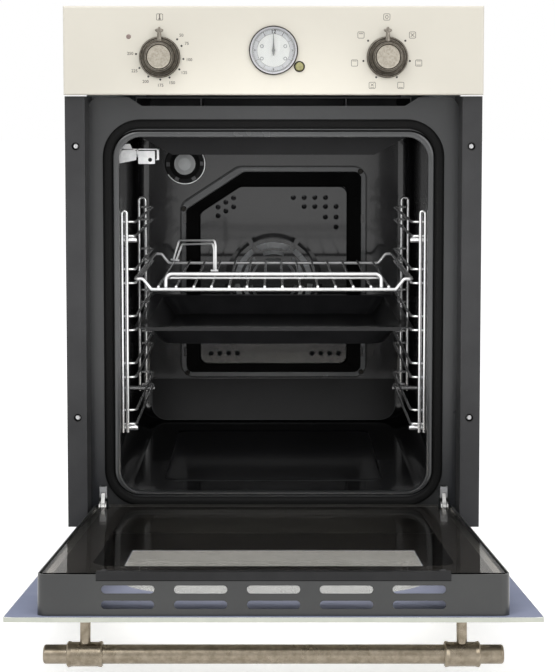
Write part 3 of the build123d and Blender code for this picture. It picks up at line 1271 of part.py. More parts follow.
def clock_knob():
    """Small brass knob with its stem in the dark collar."""
    front = 1.4 - CLOCK_KNOB_LENGTH
    r = CLOCK_KNOB_RADIUS
    stem = CLOCK_STEM_RADIUS
    rear = PANEL_DEPTH - 2
    back = 1.4
    profile = [(0, front), (r - 0.9, front), (r, front + 0.9), (r, back), (stem, back), (stem, rear),
               (0, rear)]
    return turned(profile, CLOCK_KNOB_X, CLOCK_KNOB_HEIGHT)


def indicator_lens():
    """Pilot lamp: small domed lens in the panel with its holder reaching the bracket."""
    r = INDICATOR_RADIUS
    rear = PANEL_DEPTH
    dome = [(0, -0.9), (r * 0.7, -0.6), (r, 0)]
    profile = dome + [(r, PANEL_WALL), (r + 1.4, PANEL_WALL), (r + 1.4, rear), (0, rear)]
    return turned(profile, INDICATOR_X, INDICATOR_HEIGHT)


# Door, drawn closed


def outer_glass():
    """Outer glass of the door with ground edges."""
    pane = rectangle(-HALF_FACE, HALF_FACE, DOOR_BOTTOM, DOOR_TOP, DOOR_GLASS_CORNER)
    return front_view(pane, 0, DOOR_GLASS)


def liner_outline(shrink):
    """Outline of the door liner, shrunk evenly."""
    return rectangle(-LINER_HALF + shrink, LINER_HALF - shrink, LINER_BOTTOM + shrink, LINER_TOP - shrink,
                     LINER_CORNER - shrink / 4)


def hinge_bay():
    """Room cut out of the lower left of the liner for the hinge."""
    x0, x1 = slot_sides()
    height = INNER_GLASS_FOOT + GLASS_NOTCH_HEIGHT + LINER_BOTTOM
    return block(x0 - 0.5, x1 + 1.5, CHEEK_FRONT - 1, INNER_GLASS_FACE + 1, LINER_BOTTOM - 1, height)


def door_liner():
    """Folded liner: wall all round, flange on the outer glass, seat for the inner glass, air slots."""
    glass_seat = INNER_GLASS_FACE - DOOR_GLASS
    edge = glass_seat + LINER_EDGE
    sheet = LINER_SHEET
    wall = front_view(liner_outline(0) - liner_outline(sheet), DOOR_GLASS, edge)
    flange = front_view(liner_outline(0) - liner_outline(LINER_FLANGE), DOOR_GLASS, DOOR_GLASS + sheet)
    seat = front_view(liner_outline(0) - liner_outline(LINER_FLANGE), glass_seat - sheet, glass_seat)
    slot_shape = SlotOverall(SLOT_LENGTH, SLOT_WIDTH)
    first = -(SLOT_COUNT - 1) / 2 * SLOT_PITCH
    slots = [plan_view(Pos(first + i * SLOT_PITCH, depth) * slot_shape, LINER_TOP - 2, LINER_TOP + 1)
             for i in range(SLOT_COUNT) for depth in SLOT_ROWS]
    bay = hinge_bay()
    return wall + flange + seat - slots - bay - mirrored(bay)


def inner_glass():
    """Inner glass on the liner's seat, its lower corners cut out for the hinges."""
    half = LINER_HALF - INNER_GLASS_MARGIN
    low = LINER_BOTTOM + INNER_GLASS_FOOT
    high = LINER_TOP - INNER_GLASS_MARGIN
    x = half - GLASS_NOTCH_WIDTH
    z = low + GLASS_NOTCH_HEIGHT
    right = [(x, low), (x, z), (half, z), (half, high)]
    left = [(-x, z) for x, z in reversed(right)]
    return front_view(outline(*right, *left), INNER_GLASS_FACE - DOOR_GLASS, INNER_GLASS_FACE)


def door_top_rail():
    """Angled rail over the upper edge of the inner glass."""
    face = INNER_GLASS_FACE
    inside = face - DOOR_GLASS - 1.5
    profile = outline((inside, LINER_TOP), (inside, LINER_TOP + RAIL_SHEET / 2),
                      (face + RAIL_SHEET, LINER_TOP + RAIL_SHEET / 2),
                      (face + RAIL_SHEET, LINER_TOP - RAIL_COVER), (face, LINER_TOP - RAIL_COVER),
                      (face, LINER_TOP))
    return side_view(profile, -RAIL_HALF, RAIL_HALF)


def door_buffers():
    """Two soft buffers on the inner glass near the top corners of the door."""
    z = LINER_TOP - RAIL_COVER - BUFFER_GAP - BUFFER_RADIUS
    face = INNER_GLASS_FACE
    profile = [(0, face), (BUFFER_RADIUS, face), (BUFFER_RADIUS, face + 1.0), (BUFFER_RADIUS - 1, face + 1.8),
               (0, face + 2.2)]
    return [turned(profile, x, z) for x in (-BUFFER_X, BUFFER_X)]


def door_screws():
    """Pan-head screws in the sides of the liner."""
    r = DOOR_SCREW_RADIUS
    head = outline((0, 0), (0, 1.8), (r * 0.6, 1.6), (r, 0.8), (r, 0))
    left = Rot(0, 0, 90) * revolve(head, Axis.Y, 360)
    places = [Pos(-LINER_HALF, DOOR_SCREW_DEPTH, LINER_TOP - drop) for drop in DOOR_SCREW_DROPS]
    return [solid for place in places for solid in both_sides(place * left)]


def handle_bar():
    """Handle bar with rounded ends."""
    round_bar = Rot(0, 90, 0) * Cylinder(HANDLE_DIAMETER / 2, HANDLE_LENGTH)
    bar = Pos(0, -HANDLE_REACH, HANDLE_HEIGHT) * round_bar
    ends = bar.edges().filter_by(GeomType.CIRCLE)
    return fillet(ends, 2.0)


def handle_mounts():
    """Two collars round the bar, each with a post and a foot on the outer glass."""
    bar_radius = HANDLE_DIAMETER / 2
    r = COLLAR_RADIUS
    half = COLLAR_LENGTH / 2
    ring = [(bar_radius, -half), (r - 1, -half), (r, -half + 1.2), (r - 0.8, -half + 4), (r - 0.8, half - 4),
            (r, half - 1.2), (r - 1, half), (bar_radius, half)]
    collar = Rot(0, 0, 90) * revolve(outline(*ring), Axis.Y, 360)
    post_top = -HANDLE_REACH + bar_radius
    stem = disc(0, 0, POST_RADIUS, post_top + 1, 0)
    foot = disc(0, 0, POST_FOOT_RADIUS, -POST_FOOT, 0)
    place = Pos(-COLLAR_X, 0, HANDLE_HEIGHT)
    mount = Pos(0, -HANDLE_REACH, 0) * collar + stem + foot
    return both_sides(place * mount)


# Hinges


def hinge_circle(radius):
    """Round eye about the hinge pivot, in a side view."""
    return Pos(PIVOT_DEPTH, PIVOT_HEIGHT) * Circle(radius)


def hinge_arms():
    """Fixed arms from the receivers to the pivots, each with the pin of its latch."""
    low = HINGE_SLOT_BOTTOM
    neck = outline((PIVOT_DEPTH - 4, PIVOT_HEIGHT + 5.5), (PIVOT_DEPTH + 5, PIVOT_HEIGHT - 4.5),
                   (FRAME_FACE, low), (ARM_REAR, low), (ARM_REAR, low + 8), (FRAME_BACK + 8, ARM_TOP),
                   (LATCH_DEPTH - 2.5, ARM_TOP))
    plate = neck + hinge_circle(ARM_EYE_RADIUS) - hinge_circle(HINGE_PIN_RADIUS + RUNNING_GAP)
    x0 = -HINGE_X - ARM_THICKNESS / 2
    arm = side_view(plate, x0, x0 + ARM_THICKNESS)
    reach = latch_half_width() - 0.2
    pin = side_view(Pos(LATCH_DEPTH, LATCH_HEIGHT) * Circle(LATCH_PIN_RADIUS), -HINGE_X - reach,
                    -HINGE_X + reach)
    return both_sides(arm + pin)


def latch_half_width():
    """Half the width of a latch over its two cheeks."""
    return ARM_THICKNESS / 2 + CHEEK_GAP + LATCH_SHEET


def hinge_latch():
    """Left latch: two cheeks on the pin and a bridge across their front."""
    half = latch_half_width()
    y = LATCH_DEPTH
    z = LATCH_HEIGHT
    shape = outline((y - 3.2, z - 0.5), (y + 2.6, z - 0.5), (y + 2.6, z + 5), (y + 1, z + LATCH_LENGTH),
                    (y - 3.2, z + LATCH_LENGTH)) + Pos(y, z) * Circle(3.0)
    shape -= Pos(y, z) * Circle(LATCH_PIN_RADIUS + RUNNING_GAP)
    cheeks = [side_view(shape, -HINGE_X - half, -HINGE_X - half + LATCH_SHEET),
              side_view(shape, -HINGE_X + half - LATCH_SHEET, -HINGE_X + half)]
    bridge = block(-HINGE_X - half, -HINGE_X + half, y - 3.2, y - 2.9 + LATCH_SHEET / 2,
                   ARM_TOP + 0.5, z + LATCH_LENGTH)
    return cheeks[0] + cheeks[1] + bridge


def hinge_receivers():
    """Open-ended boxes behind the frame slots that hold the hinge arms."""
    x0, x1 = slot_sides()
    t = RECEIVER_SHEET
    z0 = HINGE_SLOT_BOTTOM
    z1 = HINGE_SLOT_TOP
    rear = FRAME_BACK + RECEIVER_LENGTH
    room = rectangle(x0, x1, z0, z1)
    tube = front_view(rectangle(x0 - t, x1 + t, z0 - t, z1 + t) - room, FRAME_BACK, rear)
    f = RECEIVER_FLANGE
    flange = front_view(rectangle(x0 - t - f, x1 + t, z0 - t - f, z1 - f) - room, FRAME_BACK, FRAME_BACK + t)
    return both_sides(tube + flange)


def hinge_channels():
    """Door side of the hinges: two cheeks on a web, with the hinge pin."""
    inner = ARM_THICKNESS / 2 + CHEEK_GAP
    outer = inner + CHEEK_SHEET
    strip = rectangle(CHEEK_FRONT, CHEEK_BACK, PIVOT_HEIGHT, PIVOT_HEIGHT + CHEEK_LENGTH)
    shape = strip + hinge_circle(CHEEK_EYE_RADIUS)
    cheeks = (side_view(shape, -HINGE_X - outer, -HINGE_X - inner)
              + side_view(shape, -HINGE_X + inner, -HINGE_X + outer))
    web = block(-HINGE_X - outer, -HINGE_X + outer, DOOR_GLASS + LINER_SHEET, CHEEK_FRONT + CHEEK_SHEET,
                PIVOT_HEIGHT + 35, PIVOT_HEIGHT + CHEEK_LENGTH)
    web -= block(-HINGE_X - inner, -HINGE_X + inner, DOOR_GLASS, CHEEK_FRONT, PIVOT_HEIGHT + 30,
                 PIVOT_HEIGHT + CHEEK_LENGTH + 1)
    pin = side_view(hinge_circle(HINGE_PIN_RADIUS), -HINGE_X - outer, -HINGE_X + outer)
    return both_sides(cheeks + web + pin)


def main():
    """Build every sub-part and write it."""
    os.makedirs("parts", exist_ok=True)
    fixed = {
        "base_pan": base_pan(), "casing_side_left": casing_side(),
        "casing_side_right": mirrored(casing_side()),
        "casing_rear": casing_rear(), "casing_top": casing_top(), "terminal_block": terminal_block(),
        "front_frame": front_frame(), "door_gasket": door_gasket(), "side_trim_left": side_trim(),
        "side_trim_right": mirrored(side_trim()), "trim_ferrules": trim_ferrules(),
        "muffle_wrap": muffle_wrap(), "muffle_rear": muffle_rear(), "fan_cover": fan_cover(),
        "convection_fan": convection_fan(), "fan_motor": fan_motor(),
        "ring_heater": ring_heater(), "grill_hood": grill_hood(), "grill_element": grill_element(),
        "bottom_heater": bottom_heater(), "lamp_housing": lamp_housing(), "lamp_glass": lamp_glass(),
        "sensor_bracket": sensor_bracket(), "ladder_left": ladder(), "ladder_right": mirrored(ladder()),
        "ladder_studs": ladder_studs(), "rack": rack(), "tray_handle": tray_handle(),
        "baking_tray": baking_tray(), "cooling_fan_housing": cooling_fan_housing(),
        "cooling_fan_rotor": cooling_fan_rotor(), "cooling_fan_motor": cooling_fan_motor(),
        "insulation": insulation(), "control_panel": control_panel(), "panel_bracket": panel_bracket(),
        "rotary_switches": rotary_switches(),
        "thermostat_knob": at_knob(knob(), -1), "thermostat_cap": at_knob(knob_cap(), -1),
        "function_knob": at_knob(knob(), 1), "function_cap": at_knob(knob_cap(), 1),
        "clock_case": clock_case(), "clock_dial": clock_dial(), "clock_glass": clock_glass(),
        "hour_hand": hour_hand(), "minute_hand": minute_hand(), "clock_knob": clock_knob(),
        "indicator_lens": indicator_lens(), "hinge_receivers": hinge_receivers(), "hinge_arms": hinge_arms(),
        "hinge_latch_left": hinge_latch(), "hinge_latch_right": mirrored(hinge_latch()),
    }
    door = {
        "outer_glass": outer_glass(), "door_liner": door_liner(), "inner_glass": inner_glass(),
        "door_top_rail": door_top_rail(), "door_buffers": door_buffers(), "door_screws": door_screws(),
        "handle_bar": handle_bar(), "handle_mounts": handle_mounts(), "hinge_channels": hinge_channels(),
    }
    for name, shape in fixed.items():
        save(shape, name)
    for name, shape in door.items():
        pieces = shape if isinstance(shape, list) else [shape]
        save([door_open(piece) for piece in pieces], name)


main()
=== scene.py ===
"""Looks of the built-in oven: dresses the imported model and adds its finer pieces."""

import json
import logging
import math
from dataclasses import dataclass
from enum import Enum
from typing import Callable, Iterable, Optional, Sequence

import bmesh
import bpy
from mathutils import Matrix, Vector

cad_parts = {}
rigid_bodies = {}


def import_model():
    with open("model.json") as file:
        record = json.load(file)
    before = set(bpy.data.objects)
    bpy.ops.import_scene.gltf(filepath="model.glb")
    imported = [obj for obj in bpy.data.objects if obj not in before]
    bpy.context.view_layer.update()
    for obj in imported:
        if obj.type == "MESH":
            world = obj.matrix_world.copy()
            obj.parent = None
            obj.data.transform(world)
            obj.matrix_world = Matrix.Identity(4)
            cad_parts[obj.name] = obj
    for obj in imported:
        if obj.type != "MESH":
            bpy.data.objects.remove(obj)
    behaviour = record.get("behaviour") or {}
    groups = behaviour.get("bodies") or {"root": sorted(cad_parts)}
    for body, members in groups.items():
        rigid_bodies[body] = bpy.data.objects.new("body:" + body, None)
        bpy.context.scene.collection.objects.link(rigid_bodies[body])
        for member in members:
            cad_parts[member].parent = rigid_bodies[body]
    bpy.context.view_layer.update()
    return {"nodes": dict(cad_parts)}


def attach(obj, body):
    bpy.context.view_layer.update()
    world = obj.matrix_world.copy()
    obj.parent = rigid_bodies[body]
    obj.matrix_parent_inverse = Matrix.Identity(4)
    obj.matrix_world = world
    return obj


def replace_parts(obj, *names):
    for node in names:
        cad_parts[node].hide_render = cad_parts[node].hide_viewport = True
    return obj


for leftover in list(bpy.data.objects):
    bpy.data.objects.remove(leftover)
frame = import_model()
LOG = logging.getLogger("oven")
MM = 0.001

Point = tuple[float, float, float]
Flat = tuple[float, float]
Extent = tuple[float, float, float, float]
Tone = tuple[float, float, float]
Socket = bpy.types.NodeSocket
Tree = bpy.types.NodeTree
Mesh = bpy.types.Mesh
Item = bpy.types.Object

# Depth of the model's origin behind the front of the control panel, in millimetres
ORIGIN_DEPTH = 305.0
# Hinge pins of the door, and how far it stands open at rest
PIVOT_DEPTH = 35.0
PIVOT_HEIGHT = 44.0
DOOR_OPEN_ANGLE = 83.3


class Body(Enum):
    """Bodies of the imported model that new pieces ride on."""

    OVEN = "oven"
    DOOR = "door"
    TRAY = "baking_tray"
    LIFTER = "tray_handle"
    THERMOSTAT = "thermostat_knob"
    FUNCTION = "function_knob"


class Relief(Enum):
    """Fine surface form of a finish."""

    PEEL = "orange peel"
    CAST = "cast"
    BRUSHED = "brushed"
    SPANGLE = "spangle"
    FIBRE = "fibre"


# -------- shader groups


class Sheet:
    """Adds nodes and links to one node tree."""

    def __init__(self, tree: Tree) -> None:
        """Keep the tree.

        Args:
            tree: The node tree that is written to.
        """
        self.tree = tree

    def link(self, source: Socket, target: Socket) -> None:
        """Join an output to an input."""
        self.tree.links.new(source, target)

    def add(self, kind: str, inputs: Optional[dict] = None, **settings: object) -> bpy.types.Node:
        """Add a node.

        Args:
            kind: Blender's name of the node type.
            inputs: Values or output sockets, by socket name or index.
            settings: Properties of the node itself.

        Returns:
            The new node.
        """
        node = self.tree.nodes.new(kind)
        for key, value in settings.items():
            setattr(node, key, value)
        for key, value in (inputs or {}).items():
            if isinstance(value, Socket):
                self.link(value, node.inputs[key])
            else:
                node.inputs[key].default_value = value
        return node

    def maths(self, operation: str, *values: object) -> Socket:
        """Add a Math node and return its result."""
        return self.add("ShaderNodeMath", dict(enumerate(values)), operation=operation).outputs[0]

    def spread(self, value: object, low: float, high: float, start: float = 0.0,
               end: float = 1.0) -> Socket:
        """Map a value from low..high to start..end and clamp it."""
        return self.add("ShaderNodeMapRange",
                        {0: value, 1: low, 2: high, 3: start, 4: end}).outputs[0]

    def noise(self, vector: object, scale: float, detail: float = 3.0,
              roughness: float = 0.55) -> Socket:
        """Add a noise texture and return its value."""
        return self.add("ShaderNodeTexNoise", {"Vector": vector, "Scale": scale, "Detail": detail,
                                               "Roughness": roughness}).outputs["Fac"]

    def blend(self, mask: Socket, one: object, other: object) -> Socket:
        """Mix two colours by a mask and return the result."""
        return self.add("ShaderNodeMix", {0: mask, 6: one, 7: other}, data_type="RGBA").outputs[2]

    def vector(self, **parts: object) -> Socket:
        """Join the parts X, Y and Z to a vector; what isn't given is zero."""
        return self.add("ShaderNodeCombineXYZ", parts).outputs[0]

    def seen_directly(self) -> tuple[Socket, Socket]:
        """Tell what the eye, a mirror image or a view through glass meets from other light.

        Returns:
            A mask of all three, and the one of the view through glass.
        """
        path = self.add("ShaderNodeLightPath").outputs
        through = path["Is Transmission Ray"]
        either = self.maths("MAXIMUM", path["Is Glossy Ray"], through)
        return self.maths("MAXIMUM", path["Is Camera Ray"], either), through


def shading(owner: "bpy.types.Material | bpy.types.World") -> Sheet:
    """Empty the node tree of a material or of the surroundings.

    Args:
        owner: What holds the tree.

    Returns:
        The sheet of the tree.
    """
    owner.use_nodes = True
    owner.node_tree.nodes.clear()
    return Sheet(owner.node_tree)


def open_group(name: str, takes: dict[str, str], gives: dict[str, str]) -> tuple[Sheet, dict, dict]:
    """Start a shader node group with named sockets.

    Args:
        name: Name of the group.
        takes: Socket kind by input name.
        gives: Socket kind by output name.

    Returns:
        The sheet of its tree, its input sockets by name and its output sockets by name.
    """
    tree = bpy.data.node_groups.new(name, "ShaderNodeTree")
    for side, sockets in (("INPUT", takes), ("OUTPUT", gives)):
        for label, kind in sockets.items():
            tree.interface.new_socket(label, in_out=side, socket_type=kind)
    sheet = Sheet(tree)
    entry = sheet.add("NodeGroupInput")
    leave = sheet.add("NodeGroupOutput")
    return (sheet, {label: entry.outputs[label] for label in takes},
            {label: leave.inputs[label] for label in gives})


class Effects:
    """Shader node groups that several finishes use, each built once."""

    VALUE = "NodeSocketFloat"
    VECTOR = "NodeSocketVector"
    COLOUR = "NodeSocketColor"

    def __init__(self) -> None:
        """Build every group."""
        self.groups = {"mottle": self.mottle(), "smudge": self.smudge(), "wear": self.wear()}
        forms = {Relief.PEEL: self.peel, Relief.CAST: self.cast, Relief.BRUSHED: self.brushed,
                 Relief.SPANGLE: self.spangle, Relief.FIBRE: self.fibre}
        self.reliefs = {kind: self.relief(kind, form) for kind, form in forms.items()}

    def scaled(self, sheet: Sheet, position: Socket, size: Socket) -> Socket:
        """Divide a position in metres by a size in millimetres."""
        factor = sheet.maths("DIVIDE", 1.0 / MM, size)
        return sheet.add("ShaderNodeVectorMath", {0: position, "Scale": factor},
                         operation="SCALE").outputs[0]

    def mottle(self) -> Tree:
        """Two tones that drift into each other.

        Returns:
            The group.
        """
        sheet, given, out = open_group(
            "Mottle", {"Position": self.VECTOR, "Size": self.VALUE, "Tone": self.COLOUR,
                       "Shade": self.COLOUR}, {"Colour": self.COLOUR})
        place = self.scaled(sheet, given["Position"], given["Size"])
        mask = sheet.spread(sheet.noise(place, 1.0, 5.0, 0.62), 0.36, 0.64)
        sheet.link(sheet.blend(mask, given["Tone"], given["Shade"]), out["Colour"])
        return sheet.tree

    def smudge(self) -> Tree:
        """Roughness that varies as on a surface wiped with a cloth.

        Returns:
            The group.
        """
        sheet, given, out = open_group(
            "Smudge", {"Position": self.VECTOR, "Roughness": self.VALUE, "Spread": self.VALUE},
            {"Roughness": self.VALUE})
        broad = sheet.noise(given["Position"], 9.0, 4.0, 0.6)
        fine = sheet.noise(given["Position"], 70.0, 2.0, 0.5)
        both = sheet.maths("ADD", sheet.maths("MULTIPLY", broad, 0.7),
                           sheet.maths("MULTIPLY", fine, 0.3))
        offset = sheet.maths("MULTIPLY", sheet.maths("SUBTRACT", both, 0.5),
                             sheet.maths("MULTIPLY", given["Spread"], 4.0))
        sheet.link(sheet.maths("MAXIMUM", sheet.maths("ADD", given["Roughness"], offset), 0.02),
                   out["Roughness"])
        return sheet.tree

    def wear(self) -> Tree:
        """Rubbed convex edges, broken up by noise.

        Returns:
            The group.
        """
        sheet, given, out = open_group(
            "Wear", {"Position": self.VECTOR, "Amount": self.VALUE}, {"Mask": self.VALUE})
        curved = sheet.add("ShaderNodeNewGeometry").outputs["Pointiness"]
        edge = sheet.spread(curved, 0.52, 0.62)
        broken = sheet.spread(sheet.noise(given["Position"], 260.0, 3.0), 0.35, 0.6)
        mask = sheet.maths("MULTIPLY", sheet.maths("MULTIPLY", edge, broken), given["Amount"])
        sheet.link(mask, out["Mask"])
        return sheet.tree

    def relief(self, kind: Relief,
               form: Callable[[Sheet, Socket], tuple[Socket, Socket]]) -> Tree:
        """Make a group that turns a position and a grain size into a height and a mask.

        Args:
            kind: The relief, whose value names the group.
            form: Adds the nodes that turn a place, counted in grains, into the two.

        Returns:
            The group.
        """
        sheet, given, out = open_group(
            kind.value, {"Position": self.VECTOR, "Size": self.VALUE},
            {"Height": self.VALUE, "Mask": self.VALUE})
        height, mask = form(sheet, self.scaled(sheet, given["Position"], given["Size"]))
        sheet.link(height, out["Height"])
        sheet.link(mask, out["Mask"])
        return sheet.tree

    def peel(self, sheet: Sheet, place: Socket) -> tuple[Socket, Socket]:
        """Soft waves of sprayed paint or fired enamel, as height and mask."""
        return sheet.noise(place, 1.0, 1.0, 0.4), sheet.noise(place, 0.13, 2.0)

    def cast(self, sheet: Sheet, place: Socket) -> tuple[Socket, Socket]:
        """Pitted grain of cast or aged metal.

        Args:
            sheet: Sheet of the group.
            place: Place, counted in grains.

        Returns:
            Height and mask.
        """
        coarse = sheet.noise(place, 0.5, 4.0, 0.65)
        pits = sheet.add("ShaderNodeTexVoronoi", {"Vector": place, "Scale": 0.8})
        pitted = sheet.spread(pits.outputs["Distance"], 0.0, 0.35, 0.0, 0.4)
        return sheet.maths("ADD", coarse, pitted), coarse

    def brushed(self, sheet: Sheet, place: Socket) -> tuple[Socket, Socket]:
        """Fine lines drawn along x.

        Args:
            sheet: Sheet of the group.
            place: Place, counted in grains.

        Returns:
            Height and mask.
        """
        drawn = sheet.add("ShaderNodeMapping", {"Vector": place, "Scale": (0.02, 1.0, 1.0)})
        lines = sheet.noise(drawn.outputs[0], 1.0, 3.0, 0.7)
        return lines, lines

    def spangle(self, sheet: Sheet, place: Socket) -> tuple[Socket, Socket]:
        """Crystals of a zinc coating.

        Args:
            sheet: Sheet of the group.
            place: Place, counted in grains.

        Returns:
            Height and mask.
        """
        drift = sheet.add("ShaderNodeTexNoise", {"Vector": place, "Scale": 2.0}).outputs["Color"]
        bent = sheet.add("ShaderNodeVectorMath", {0: place, 1: drift}, operation="ADD")
        cells = sheet.add("ShaderNodeTexVoronoi", {"Vector": bent.outputs[0], "Scale": 1.0})
        shade = sheet.add("ShaderNodeSeparateColor", {0: cells.outputs["Color"]}).outputs[0]
        return sheet.maths("MULTIPLY", shade, 0.3), shade

    def fibre(self, sheet: Sheet, place: Socket) -> tuple[Socket, Socket]:
        """Tangled threads of mineral wool or of a braided seal, as height and mask."""
        wave = sheet.add("ShaderNodeTexNoise", {"Vector": place, "Scale": 1.0, "Detail": 6.0,
                                                "Distortion": 2.5}).outputs["Fac"]
        return wave, sheet.spread(wave, 0.35, 0.65)

    def use(self, sheet: Sheet, tree: Tree, **inputs: object) -> bpy.types.Node:
        """Place a group in a material.

        Args:
            sheet: Sheet of the material's tree.
            tree: The group.
            inputs: Values or sockets, by input name.

        Returns:
            The group node.
        """
        node = sheet.add("ShaderNodeGroup", node_tree=tree)
        for label, value in inputs.items():
            if isinstance(value, Socket):
                sheet.link(value, node.inputs[label])
            else:
                node.inputs[label].default_value = value
        return node


EFFECTS = Effects()


# -------- finishes


def linear(tone: Tone) -> tuple[float, ...]:
    """Turn a colour of display values from 0 to 255 into linear light, with full alpha."""
    parts = [value / 255.0 for value in tone]
    return (*(part / 12.92 if part <= 0.04045 else ((part + 0.055) / 1.055) ** 2.4
              for part in parts), 1.0)


@dataclass(frozen=True)
class Surface:
    """What every finish has: a name, its tone and a gloss that varies a little."""

    name: str
    tone: Tone

    def material(self) -> bpy.types.Material:
        """Build the material, or take the one already built.

        Returns:
            The material.
        """
        known = bpy.data.materials.get(self.name)
        if not known:
            known = bpy.data.materials.new(self.name)
            sheet = shading(known)
            place = sheet.add("ShaderNodeTexCoord").outputs["Object"]
            rough = EFFECTS.use(sheet, EFFECTS.groups["smudge"], Position=place,
                                Roughness=self.roughness, Spread=self.spread)
            looks = self.looks(sheet, place)
            looks["Roughness"] = rough.outputs["Roughness"]
            shader = sheet.add("ShaderNodeBsdfPrincipled", looks)
            sheet.add("ShaderNodeOutputMaterial", {"Surface": shader.outputs[0]})
        return known


@dataclass(frozen=True)
class Finish(Surface):
    """An opaque surface: two tones, gloss and fine relief. Sizes are in millimetres."""

    shade: Tone
    blotch: float = 40.0
    metallic: float = 0.0
    roughness: float = 0.4
    spread: float = 0.04
    coat: float = 0.0
    coat_roughness: float = 0.08
    specular: float = 0.5
    relief: Relief = Relief.PEEL
    grain: float = 2.0
    depth: float = 0.02
    strength: float = 0.3
    wear: float = 0.0
    worn: Tone = (200, 190, 170)

    def looks(self, sheet: Sheet, place: Socket) -> dict[str, object]:
        """Add the nodes of the tones, the wear and the relief.

        Args:
            sheet: Sheet of the material's tree.
            place: Object coordinates.

        Returns:
            What the shader takes, by input name, all but its roughness.
        """
        tones = linear(self.tone), linear(self.shade)
        colour = EFFECTS.use(sheet, EFFECTS.groups["mottle"], Position=place, Size=self.blotch,
                             Tone=tones[0], Shade=tones[1]).outputs["Colour"]
        relief = EFFECTS.use(sheet, EFFECTS.reliefs[self.relief], Position=place, Size=self.grain)
        if self.relief in (Relief.SPANGLE, Relief.FIBRE):
            colour = sheet.blend(relief.outputs["Mask"], *tones)
        if self.wear:
            worn = EFFECTS.use(sheet, EFFECTS.groups["wear"], Position=place, Amount=self.wear)
            colour = sheet.blend(worn.outputs["Mask"], colour, linear(self.worn))
        bump = sheet.add("ShaderNodeBump", {"Height": relief.outputs["Height"],
                                            "Distance": self.depth * MM,
                                            "Strength": self.strength})
        return {"Base Color": colour, "Metallic": self.metallic, "Coat Weight": self.coat,
                "Coat Roughness": self.coat_roughness, "Specular IOR Level": self.specular,
                "Normal": bump.outputs[0]}


@dataclass(frozen=True)
class GlassFinish(Surface):
    """Clear or tinted glass with faint wipe marks in its gloss."""

    roughness: float = 0.02
    spread: float = 0.01
    ior: float = 1.5

    def looks(self, sheet: Sheet, place: Socket) -> dict[str, object]:
        """What the shader takes, by input name, all but its roughness."""
        return {"Base Color": linear(self.tone), "Metallic": 0.0, "Transmission Weight": 1.0,
                "IOR": self.ior}


PANEL_CREAM = Finish("panel_cream", (226, 221, 208), (223, 218, 205), blotch=90, roughness=0.36,
                     coat=0.25, grain=1.6, depth=0.012)
PRINT_BROWN = Finish("print_brown", (34, 30, 27), (46, 42, 38), blotch=3, roughness=0.55, grain=0.4,
                     depth=0.004)
PRINT_FAINT = Finish("print_faint", (92, 85, 78), (108, 101, 94), blotch=3, roughness=0.55,
                     grain=0.4, depth=0.004)
FRAME_GREY = Finish("frame_grey_enamel", (50, 51, 52), (45, 46, 47), blotch=60, roughness=0.3,
                    coat=0.3, coat_roughness=0.2, grain=1.8, depth=0.03)
# Lighter grey enamel: painted reflection and highlight on lips, rims and edges of the dark enamel
# that catch the light
EDGE_HIGHLIGHT_GREY = Finish("lip_grey_enamel", (62, 63, 64), (55, 56, 57), blotch=60, roughness=0.25,
                  coat=0.5, coat_roughness=0.15, grain=1.8, depth=0.02)
# Dark grey of the side trims, also used as painted shade on the cooling fan housing in the air gap
# behind the panel
TRIM_BLACK_AND_GAP_SHADE = Finish("trim_black", (64, 64, 65), (58, 58, 59), blotch=50, roughness=0.4,
                    specular=0.2, grain=1.8, depth=0.03)
# Near-black without gloss: painted shade, laid as a sheet in gaps, grooves and recesses where only
# shade falls
SHADE_BLACK = Finish("pit_black", (7, 7, 7), (10, 10, 10), blotch=30, roughness=0.7, specular=0.04,
                   grain=2.4, depth=0.03)
RAIL_BLACK = Finish("rail_black", (38, 38, 39), (30, 30, 31), blotch=40, roughness=0.35,
                    specular=0.25, grain=1.8, depth=0.02)
LAMP_RING = Finish("lamp_ring_black", (18, 18, 18), (25, 25, 25), blotch=12, roughness=0.4,
                   specular=0.15, grain=1.6, depth=0.02)
LAMP_LUG = Finish("lamp_lug_grey", (92, 92, 93), (70, 70, 71), blotch=8, roughness=0.35,
                  specular=0.3, grain=1.6, depth=0.02)
HOOD_BLACK = Finish("hood_black_enamel", (24, 24, 25), (19, 19, 20), blotch=40, roughness=0.4,
                    specular=0.2, grain=2.4, depth=0.03)
CAVITY_BLACK = Finish("cavity_black_enamel", (17, 17, 18), (24, 24, 25), blotch=25, roughness=0.2,
                      spread=0.03, coat=0.6, coat_roughness=0.06, grain=3.0, depth=0.04)
APRON_BLACK = Finish("apron_black_enamel", (13, 13, 13), (19, 19, 20), blotch=60, roughness=0.3,
                     spread=0.03, specular=0.3, coat=0.1, coat_roughness=0.2, grain=3.0, depth=0.02)
COVER_BLACK = Finish("cover_black_enamel", (14, 14, 15), (20, 20, 21), blotch=20, roughness=0.22,
                     spread=0.03, coat=0.7, coat_roughness=0.08, grain=2.6, depth=0.03)
